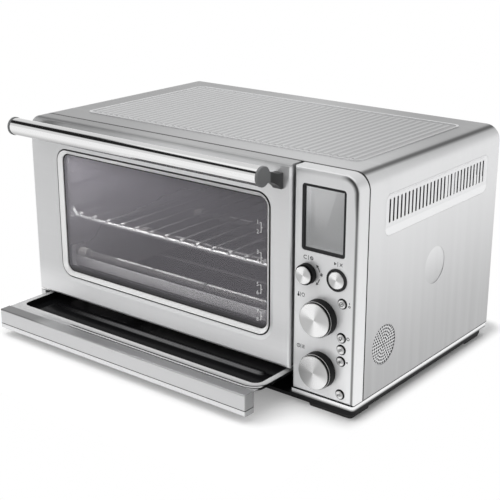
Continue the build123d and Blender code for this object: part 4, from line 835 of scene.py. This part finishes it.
class OVEN_OT_cavity(bpy.types.Operator):
    """Finish the inside of the oven and wind the heating coils"""

    bl_idname = "oven.cavity"
    bl_label = "Finish cavity"

    def execute(self, context):
        options = context.scene.oven_cavity
        coating = tuple(options.coating)
        paint("cavity_top cavity_left cavity_right cavity_back", coated("cavity_coating", coating, 0.45))
        paint("rack_guide_left rack_guide_right", coated("guide_coating", shade(coating, 0.6), 0.45))
        lengthwise = (0.1, 1.0, 1.0)
        paint("fan_housing", brushed("housing_steel", (0.5, 0.49, 0.49), 0.4, lengthwise))
        paint("front_sill", brushed(
            "sill_steel", (0.95, 0.94, 0.95), 0.5, lengthwise, shading=self.sill_shade, metallic=0.0
        ))
        even = (1.0, 1.0, 1.0)
        paint("wire_rack", brushed(
            "rack_plating", (0.95, 0.95, 0.94), 0.35, even, 0.04, shading=self.rack_shade, metallic=0.25
        ))
        self.tubes()
        paint("element_caps", moulded("end_ceramic", (0.72, 0.7, 0.66), 0.6, 0.06))
        paint("lamp_lens", glazing("lamp_lens", (0.85, 0.85, 0.82), 0.5, 0.06))
        paint("lamp_holder", moulded("lamp_ceramic", (0.7, 0.68, 0.64), 0.6, 0.06))
        paint("temperature_probe", polished("probe_steel", (0.62, 0.61, 0.6), 0.22))
        paint("fan_rotor", polished("fan_steel", grey(0.62), 0.3))
        paint("fan_motor", moulded("motor_paint", (0.1, 0.1, 0.105), 0.5))
        paint("cooling_fan", moulded("fan_plastic", (0.03, 0.03, 0.032), 0.5))
        self.coils(options)
        return {"FINISHED"}

    def coils(self, options):
        """A wound wire in each tube."""
        wire = polished("heating_wire", (0.16, 0.145, 0.135), 0.35)
        wire_radius = 0.45
        tube_radius = 5.0
        end_gap = 1.0
        for node in ("upper_tubes", "lower_tubes"):
            low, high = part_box(node)
            first = low[1] / MM + tube_radius
            last = high[1] / MM - tube_radius
            length = (high[0] - low[0]) / MM - 2 * end_gap
            mesh = bmesh.new()
            for y in (first, (first + last) / 2, last):
                start = (low[0] / MM + end_gap, y, middle(node)[2])
                coil(mesh, start, length, options.coil_radius, wire_radius, options.coil_pitch)
            closed_piece(f"{node}_coils", mesh, "oven", wire).data.shade_smooth()

    def tubes(self):
        """Clear quartz with a pale strip along its top as a painted highlight, broken in two places by
        painted shadow.
        """
        for node in ("upper_tubes", "lower_tubes"):
            finish = material(f"quartz_{node}")
            x, _, z = finish.axes()
            bloom = finish.noise(30.0, 4.0, (0.2, 1.0, 1.0))
            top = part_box(node)[1][2]
            # Painted highlight along the top of the tube, broken in two places by painted shadow.
            from_shadow_break = abs(abs(x + 45.0 * MM) - 42.0 * MM)
            line = finish.band(z, top - 0.8 * MM, top - 0.6 * MM) * finish.band(from_shadow_break, 2.5 * MM, 3.0 * MM)
            line = line * finish.band(x, -0.155, -0.15)
            base = finish.blend(bloom, (0.84, 0.83, 0.82), (0.95, 0.95, 0.94))
            finish.surface(base_color=base, roughness=bloom * 0.08 + 0.05, alpha=line * 0.85 + 0.08)
            paint(node, finish.owner)

    def rack_shade(self, finish):
        """Painted light on the front rail, before wires in painted shade that deepens to the back."""
        _, y, _ = finish.axes()
        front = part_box("wire_rack")[0][1]
        wires = finish.band(y, front + 9.0 * MM, front + 90.0 * MM, 0.12, 0.05)
        return finish.band(y, front + 5.0 * MM, front + 9.0 * MM, 1.0, wires)

    def sill_shade(self, finish):
        """A painted highlight on the upper edge over a foot in painted shade."""
        _, _, z = finish.axes()
        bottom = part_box("front_sill")[0][2]
        return finish.band(z, bottom + 8.6 * MM, bottom + 9.1 * MM)


class OVEN_OT_controls(bpy.types.Operator):
    """Finish the display, dials and buttons and print the fascia's signs"""

    bl_idname = "oven.controls"
    bl_label = "Finish controls"

    def execute(self, context):
        options = context.scene.oven_marks
        self.faces(options.lift)
        self.display()
        self.signs(options)
        return {"FINISHED"}

    def faces(self, lift):
        """Black dials with turned caps and a pale ring as a painted highlight, and turned buttons."""
        grip = moulded("dial_plastic", (0.006, 0.006, 0.0065), 0.5, 0.03, 0.15)
        paint("upper_dial lower_dial select_knob", grip)
        for node in ("upper_dial_cap", "lower_dial_cap", "select_knob_cap", "start_button"):
            paint(node, turned(node, grey(0.8)))
        for number in range(1, 6):
            node = f"button_{number}"
            paint(node, turned(node, grey(0.72)))
        # Painted highlight: a pale ring on each dial's skirt for light catching its edge.
        highlight_paint = moulded("ring_highlight_paint", grey(0.8), 0.4)
        ring_radius = 19.2
        ring_width = 0.6
        for node in ("upper_dial", "lower_dial"):
            x, _, z = middle(f"{node}_cap")
            place = at(FACING_FRONT, x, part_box(node)[0][1] / MM - lift, z)
            mesh = bmesh.new()
            arc(mesh, place, ring_radius, ring_width, steps=64)
            flat_piece(f"{node}_ring", mesh, node, highlight_paint)
        paint("select_shaft", polished("shaft_steel", grey(0.6), 0.2))
        paint("control_board", moulded("board_resist", (0.012, 0.075, 0.03), 0.4))

    def display(self):
        """A pane before a screen with a painted glow, a painted sheen, a slanted painted glare and painted
        shade at its edges.
        """
        paint("display_window", glazing("display_pane", (0.3, 0.3, 0.305), 0.16, 0.06))
        finish = material("display_screen")
        x, _, z = finish.axes()
        cells = finish.noise(2200.0, 1.0)
        low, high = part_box("display_window")
        across = (x - low[0]) / (high[0] - low[0])
        down = (high[2] - z) / (high[2] - low[2])
        # Painted glare across the screen, and painted shade along its left and bottom edges.
        glare = finish.band(across + down * 0.4, 0.66, 0.68, 0.3, 0.0)
        glare = glare * finish.fall(down, 0.4, 0.8)
        edge = finish.band(across, 0.04, 0.16, 0.4, 0.0).largest(finish.band(down, 0.86, 0.98, 0.0, 0.5))
        sheen = finish.band(across * 0.495 + down + cells * 0.066, 0.013, 1.0) - glare + edge
        base = finish.blend(sheen, (0.84, 0.845, 0.85), (0.51, 0.515, 0.52))
        # The emission is a painted glow.
        finish.surface(base_color=base, roughness=cells * 0.1 + 0.4, emission_color=base)
        finish.surface(emission_strength=0.3)
        paint("display_module", finish.owner)

    def signs(self, options):
        """The pictograms of the fascia and of its small buttons, and a ring of painted shade round each small
        button.
        """
        ink = moulded("sign_ink_and_gap_shade", tuple(options.ink), 0.6)
        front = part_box("control_fascia")[0][1] / MM - options.lift
        stroke = options.stroke
        mesh = bmesh.new()

        def place(x, z):
            return at(FACING_FRONT, x, front, z)

        for x, z in ((180.4, 169.8), (216.6, 170.3), (171.2, 127.5), (172.7, 69.3)):
            bar(mesh, place(x, z), stroke * 0.8, 5.0)
        self.knob_signs(mesh, place, stroke)
        self.dial_signs(mesh, place, stroke)
        self.turn_signs(mesh, place, stroke)
        self.edge_signs(mesh, place, stroke)
        for number in range(1, 6):
            node = f"button_{number}"
            x, _, z = middle(node)
            # Painted shade: a dark ring in the gap round the button.
            arc(mesh, place(x, z), 5.5, 0.6)
            sign = bmesh.new()
            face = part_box(node)[0][1] / MM - options.lift
            self.button_sign(sign, at(FACING_FRONT, x, face, z), number, stroke)
            flat_piece(f"{node}_sign", sign, node, ink)
        flat_piece("fascia_signs", mesh, "oven", ink)

    def knob_signs(self, mesh, place, stroke):
        """Over the select knob and the start button: tray, barred ring, start and cancel."""
        tray = place(176.2, 169.8)
        arc(mesh, tray, 1.7, stroke, start=90.0, sweep=180.0, steps=10)
        bar(mesh, tray, 2.2, stroke, 1.0, 1.7)
        bar(mesh, tray, 2.2, stroke, 1.0, -1.7)
        ring = place(184.4, 169.8)
        arc(mesh, ring, 1.7, stroke)
        bar(mesh, ring, stroke, 3.4, turn=45.0)
        disc(mesh, place(213.2, 170.3), 2.1, sides=3, turn=-90.0)
        for turn in (45.0, -45.0):
            bar(mesh, place(220.6, 170.3), 4.4, stroke, turn=turn)

    def dial_signs(self, mesh, place, stroke):
        """Over the upper dial a thermometer and a loaf, over the lower one a clock and a stack."""
        warm = place(168.6, 127.5)
        disc(mesh, warm, 1.4, y=-1.2)
        bar(mesh, warm, 1.1, 3.2, y=0.8)
        loaf = place(174.6, 127.5)
        arc(mesh, loaf, 1.7, stroke, y=0.3, start=-30.0, sweep=240.0, steps=16)
        bar(mesh, loaf, 3.0, stroke, y=-1.5)
        clock = place(169.6, 69.3)
        arc(mesh, clock, 1.9, stroke)
        bar(mesh, clock, stroke, 1.2, y=0.5)
        bar(mesh, clock, 1.2, stroke, x=0.5)
        for level in (-1.5, 0.0, 1.5):
            bar(mesh, place(175.8, 69.3), 3.0, stroke, y=level)

    def turn_signs(self, mesh, place, stroke):
        """Two arrows round the select knob, and a star beside it."""
        knob = place(180.5, 153.0)
        reach = 14.6
        for start, head, tip in ((15.0, 41.0, 41.0), (-38.0, -41.0, 139.0)):
            arc(mesh, knob, reach, 1.0, start=start, sweep=23.0, steps=12)
            where = Matrix.Rotation(math.radians(head), 2) @ Vector((reach, 0.0))
            disc(mesh, knob, 2.0, where.x, where.y, sides=3, turn=tip)
        for turn in (0.0, 60.0, 120.0):
            bar(mesh, place(197.0, 154.4), stroke, 4.0, turn=turn)

    def edge_signs(self, mesh, place, stroke):
        """Marks beside the small buttons."""
        bar(mesh, place(232.0, 131.3), stroke, 2.2)
        arc(mesh, place(232.0, 127.9), 1.0, stroke)
        arc(mesh, place(231.5, 92.4), 1.5, stroke)
        disc(mesh, place(231.0, 66.0), 1.6, sides=3, turn=90.0)

    def button_sign(self, mesh, place, number, stroke):
        """The pictogram of one small button: degrees, lamp, fan, snowflake or bell."""
        if number == 1:
            arc(mesh, place, 2.1, stroke)
            disc(mesh, place, 0.7)
        elif number == 2:
            arc(mesh, place, 1.6, stroke, y=0.4)
            bar(mesh, place, 1.8, stroke * 1.4, y=-2.0)
        elif number == 3:
            for level in (-1.2, 0.0, 1.2):
                bar(mesh, place, 4.0, stroke * 0.8, level * 0.3, level)
        elif number == 4:
            for turn in (0.0, 60.0, 120.0):
                bar(mesh, place, stroke * 0.8, 4.6, turn=turn)
        else:
            arc(mesh, place, 1.5, stroke, y=-0.4, sweep=180.0, steps=12)
            bar(mesh, place, 4.0, stroke, y=-0.8)


class OVEN_OT_tray(bpy.types.Operator):
    """Finish the crumb tray"""

    bl_idname = "oven.tray"
    bl_label = "Finish tray"

    def execute(self, context):
        steel = tuple(context.scene.oven_shell.steel)
        bar_steel = brushed("tray_bar_steel", shade(steel, 1.12), 0.32, ACROSS, shading=self.bar_shade)
        paint("tray_bar", bar_steel)
        paint("tray_pan", self.pan(steel))
        return {"FINISHED"}

    def pan(self, steel):
        """Black enamel, and a bare rim with a painted highlight on its lip."""
        finish = material("tray_enamel")
        smear = finish.noise(16.0, 5.0, (0.3, 1.0, 1.0), 1.0)
        rim = finish.axes()[2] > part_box("tray_pan")[1][2] - 0.3 * MM
        lip, bare = self.rim(finish, steel)
        black = self.enamel(finish, smear)
        finish.surface(base_color=finish.blend(rim, black, bare), metallic=rim * (1.0 - lip))
        finish.surface(roughness=smear * 0.08 + rim * 0.12 + 0.08, normal=finish.relief(smear, 0.1, 0.3))
        finish.surface(specular_ior_level=0.05)
        return finish.owner

    def enamel(self, finish, smear):
        """Black, with a painted highlight along the rib and a painted sheen behind it."""
        x, y, _ = finish.axes()
        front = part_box("tray_pan")[0][1]
        # Painted highlight along the rib.
        ridge = finish.fall(abs(y - (front + 50.8 * MM)), 0.0, 4.5 * MM)
        ridge = ridge * finish.band(x, -0.2, -0.04) * finish.fall(x, 0.12, 0.13)
        # Painted sheen behind the rib.
        behind = finish.band(y, front + 54.0 * MM, front + 60.0 * MM) * finish.band(x, -0.08, -0.02)
        black = finish.blend(smear, (0.003, 0.003, 0.0035), (0.008, 0.008, 0.0085))
        black = finish.blend(behind * 0.8, black, (0.03, 0.03, 0.031))
        return finish.blend(ridge * 0.9, black, (0.2, 0.2, 0.204))

    def rim(self, finish, steel):
        """The painted highlight on the bare rim's lip, and the rim's colour with a painted highlight on its
        hem and painted shade in the two grooves beside it.
        """
        x, y, _ = finish.axes()
        low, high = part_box("tray_pan")
        side = 7.0 * MM
        corners = (low[0] + side, low[1] + 14.5 * MM), (high[0] - side, high[1] - side)
        well = finish.outside(x, y, *corners, 12.0 * MM)
        from_hem = abs(well - 10.8 * MM)
        right = finish.band(x, -0.13, -0.122)
        # Painted highlight on the hem and the lip, and painted shade in the grooves beside the hem.
        hem = finish.band(from_hem, 0.8 * MM, 1.4 * MM, 0.9, 0.0) * right
        lip = finish.band(well, 1.0 * MM, 9.0 * MM, 0.95, 0.35).largest(hem)
        groove = finish.fall(abs(from_hem - 2.4 * MM), 0.7 * MM, 1.2 * MM) * right
        lines = finish.noise(900.0, 3.0, ACROSS)
        bare = finish.blend(lines, shade(steel, 0.92), shade(steel, 1.1))
        bare = finish.blend(lip, bare, grey(0.52))
        return lip, finish.blend(groove, bare, grey(0.03))

    def bar_shade(self, finish):
        """Painted shade in the groove, a painted highlight on the strip below it, and painted shade on the
        ends, on the front and on the top's left end.
        """
        x, _, z = finish.axes()
        low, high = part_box("tray_bar")
        half = (high[0] - low[0]) / 2
        # Painted shade on the ends; below, painted shade in the groove and on the front and top, with a
        # painted highlight on the strip under the groove.
        ends = finish.band(abs(x - (low[0] + half)), half - 1.0 * MM, half - 0.4 * MM, 1.0, 0.52)
        height = (z - low[2]) / MM
        groove = finish.band(height, 5.9, 6.2) * finish.fall(height, 6.8, 7.1)
        top = finish.band(x, -0.175, -0.145, 0.37, 0.92)
        face = finish.band(height, 23.1, 24.2, 0.76, top)
        return finish.band(height, 5.9, 7.1, 1.0, face) * (1.0 - groove * 0.9) * ends


class OVEN_OT_screws(bpy.types.Operator):
    """Put the screws into the rear panel and the base"""

    bl_idname = "oven.screws"
    bl_label = "Add screws"

    def execute(self, context):
        options = context.scene.oven_screws
        zinc = polished("screw_zinc", (0.55, 0.55, 0.56), 0.24)
        setback = 1.5
        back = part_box("casing")[1][1] / MM - setback
        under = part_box("base_plate")[0][2] / MM
        rear = [(x, z) for x in (-231.6, 231.6) for z in (40.0, 140.0, 240.0)]
        rear += [(x, 255.6) for x in (-150.0, 0.0, 150.0)]
        base = [(x, y) for x in (-120.0, 0.0, 120.0) for y in (-110.0, 140.0)]
        places = {
            "rear_screws": [at(FACING_BACK, x, back, z) for x, z in rear],
            "base_screws": [at(FACING_DOWN, x, y, under) for x, y in base],
        }
        for name, heads in places.items():
            mesh = bmesh.new()
            for place in heads:
                screw_head(mesh, place, options.radius, options.height)
            closed_piece(name, mesh, "oven", zinc)
        return {"FINISHED"}


class OVEN_OT_stage(bpy.types.Operator):
    """Set up the floor, studio wall, lamps and camera"""

    bl_idname = "oven.stage"
    bl_label = "Set stage"

    def execute(self, context):
        options = context.scene.oven_stage
        self.world(options)
        self.floor(options)
        self.wall(options)
        self.lamps()
        camera = bpy.data.cameras.new("camera")
        camera.lens = options.lens
        camera.sensor_width = 36.0
        camera.clip_end = 50.0
        holder = bpy.data.objects.new("camera", camera)
        holder.location = options.camera_place
        holder.rotation_euler = (math.radians(90) - options.elevation, 0.0, options.azimuth)
        context.scene.collection.objects.link(holder)
        context.scene.camera = holder
        context.scene.view_settings.view_transform = "Standard"
        return {"FINISHED"}

    def seen(self, finish):
        """1 for what the camera sees, also in metal and through glass, and 0 for light on its way."""
        path = finish.add("ShaderNodeLightPath", {}, {}, "Is Camera Ray")
        reflected = path.largest(path.output_named("Is Glossy Ray"))
        return reflected.largest(path.output_named("Is Transmission Ray"))

    def world(self, options):
        """White where it is seen, and an even fill elsewhere."""
        world = bpy.data.worlds.new("studio")
        bpy.context.scene.world = world
        finish = Finish(world)
        seen = self.seen(finish)
        finish.shader.inputs["Color"].default_value = (*WHITE, 1.0)
        finish.plug(finish.shader.inputs["Strength"], seen * (1.0 - options.fill) + options.fill)

    def floor(self, options):
        """Paper that keeps the shadow, deepened by painted shadow along the right side, and fades to plain
        white beyond it.
        """
        finish = material("floor_paper")
        x, y, _ = finish.axes()
        beyond = finish.outside(x, y, (-0.3, -0.3), (cad_box[1][0], 0.2), 0.02)
        away = finish.band(beyond, options.floor_near, options.floor_far)
        # Painted shadow: the floor's glow is taken away along the right side.
        contact_shadow = finish.band(x, 0.2, 0.235) * finish.band(y, -0.16, -0.12)
        glow = options.floor_glow - contact_shadow * options.floor_glow
        grain = finish.noise(300.0, 2.0)
        paper = finish.blend(grain, grey(0.78), grey(0.8))
        base = finish.blend(away, paper, NO_LIGHT)
        finish.surface(base_color=base, roughness=grain * 0.1 + 0.8, specular_ior_level=0.0)
        seen = self.seen(finish)
        bounce = finish.band(x.span(y), 0.45, 1.0, 0.95, 0.0)
        level = seen * (away * (1.0 - glow) + glow) + (1.0 - seen) * away * bounce
        finish.surface(emission_color=finish.blend(level, NO_LIGHT, WHITE), emission_strength=1.0)
        mesh = bmesh.new()
        bmesh.ops.create_grid(mesh, x_segments=8, y_segments=8, size=4.0)
        bmesh.ops.translate(mesh, verts=mesh.verts, vec=(0.0, 0.0, cad_box[0][2]))
        made_of("floor", mesh, finish.owner)

    def wall(self, options):
        """A grey wall all round with a dark gap high in its front, which only metal and glass mirror."""
        finish = material("studio_grey")
        _, y, z = finish.axes()
        mottle = finish.noise(0.8, 2.0) * 0.04
        tone = finish.blend(finish.band(z, 0.5, 0.9), WHITE, grey(0.75))
        front = finish.fall(y, -0.3, 0.4)
        gap = finish.band(z + mottle, 1.5, 1.7) * finish.fall(z + mottle, 2.8, 3.05)
        glow = finish.blend(front * finish.band(z, 2.6, 2.8), tone, WHITE)
        glow = finish.blend(front * gap, glow, DEEP_SHADE)
        finish.surface(base_color=(*NO_LIGHT, 1.0), specular_ior_level=0.0, roughness=mottle + 0.9)
        finish.surface(emission_color=glow, emission_strength=1.0)
        radius = 2.6
        height = 3.8
        lift = 0.4
        mesh = bmesh.new()
        bmesh.ops.create_cone(
            mesh, cap_ends=False, segments=options.wall_segments, radius1=radius, radius2=radius, depth=height
        )
        bmesh.ops.translate(mesh, verts=mesh.verts, vec=(0.0, 0.0, lift + height / 2))
        bmesh.ops.reverse_faces(mesh, faces=mesh.faces)
        wall = made_of("studio_wall", mesh, finish.owner)
        for rays in ("camera", "diffuse", "shadow", "transmission"):
            setattr(wall, f"visible_{rays}", False)

    def lamps(self):
        """Three softboxes that metal doesn't mirror, and two narrow lamps inside the oven."""
        for name, place, aim, size, power in (
            ("top_softbox", (-0.2, -0.2, 2.4), (0.0, 0.0, 0.1), 2.2, 34.0),
            ("key_softbox", (-1.3, -1.7, 1.7), (0.0, -0.1, 0.12), 1.2, 16.0),
            ("side_softbox", (2.1, -0.3, 1.2), (0.1, 0.0, 0.15), 1.0, 9.0),
        ):
            turn = (Vector(aim) - Vector(place)).to_track_quat("-Z", "Y").to_euler()
            self.lamp(name, place, turn, (size, size), power).visible_glossy = False
        downwards = (0.0, 0.0, 0.0)
        forwards = (math.radians(60), 0.0, 0.0)
        self.lamp("oven_lamp", (-0.05, -0.095, 0.222), downwards, (0.36, 0.02), 1.3)
        self.lamp("sill_lamp", (-0.05, -0.12, 0.098), forwards, (0.36, 0.01), 0.105)

    def lamp(self, name, place, turn, size, power):
        light = bpy.data.lights.new(name, "AREA")
        light.shape = "RECTANGLE"
        light.size, light.size_y = size
        light.energy = power
        holder = bpy.data.objects.new(name, light)
        holder.location = place
        holder.rotation_euler = turn
        bpy.context.scene.collection.objects.link(holder)
        return holder


class OVEN_PT_panel(bpy.types.Panel):
    """The oven's sidebar panel"""

    bl_idname = "OVEN_PT_panel"
    bl_label = "Toaster oven"
    bl_space_type = "VIEW_3D"
    bl_region_type = "UI"
    bl_category = "Oven"

    def draw(self, context):
        for operator, group in STEPS:
            box = self.layout.box()
            box.operator(operator.bl_idname)
            if group:
                settings = getattr(context.scene, group)
                for name in settings.__annotations__:
                    box.prop(settings, name)


GROUPS = {
    "oven_shell": ShellSettings,
    "oven_marks": MarkSettings,
    "oven_cavity": CavitySettings,
    "oven_screws": ScrewSettings,
    "oven_stage": StageSettings,
}
STEPS = (
    (OVEN_OT_shell, "oven_shell"),
    (OVEN_OT_handle, ""),
    (OVEN_OT_window, "oven_marks"),
    (OVEN_OT_cavity, "oven_cavity"),
    (OVEN_OT_controls, ""),
    (OVEN_OT_tray, ""),
    (OVEN_OT_screws, "oven_screws"),
    (OVEN_OT_stage, "oven_stage"),
)


def register():
    for name, group in GROUPS.items():
        bpy.utils.register_class(group)
        setattr(bpy.types.Scene, name, PointerProperty(type=group))
    for operator, _ in STEPS:
        bpy.utils.register_class(operator)
    bpy.utils.register_class(OVEN_PT_panel)


def unregister():
    bpy.utils.unregister_class(OVEN_PT_panel)
    for operator, _ in reversed(STEPS):
        bpy.utils.unregister_class(operator)
    for name, group in reversed(GROUPS.items()):
        delattr(bpy.types.Scene, name)
        bpy.utils.unregister_class(group)


def main():
    register()
    bpy.ops.oven.shell()
    bpy.ops.oven.handle()
    bpy.ops.oven.window()
    bpy.ops.oven.cavity()
    bpy.ops.oven.controls()
    bpy.ops.oven.tray()
    bpy.ops.oven.screws()
    bpy.ops.oven.stage()


if __name__ == "__main__":
    main()
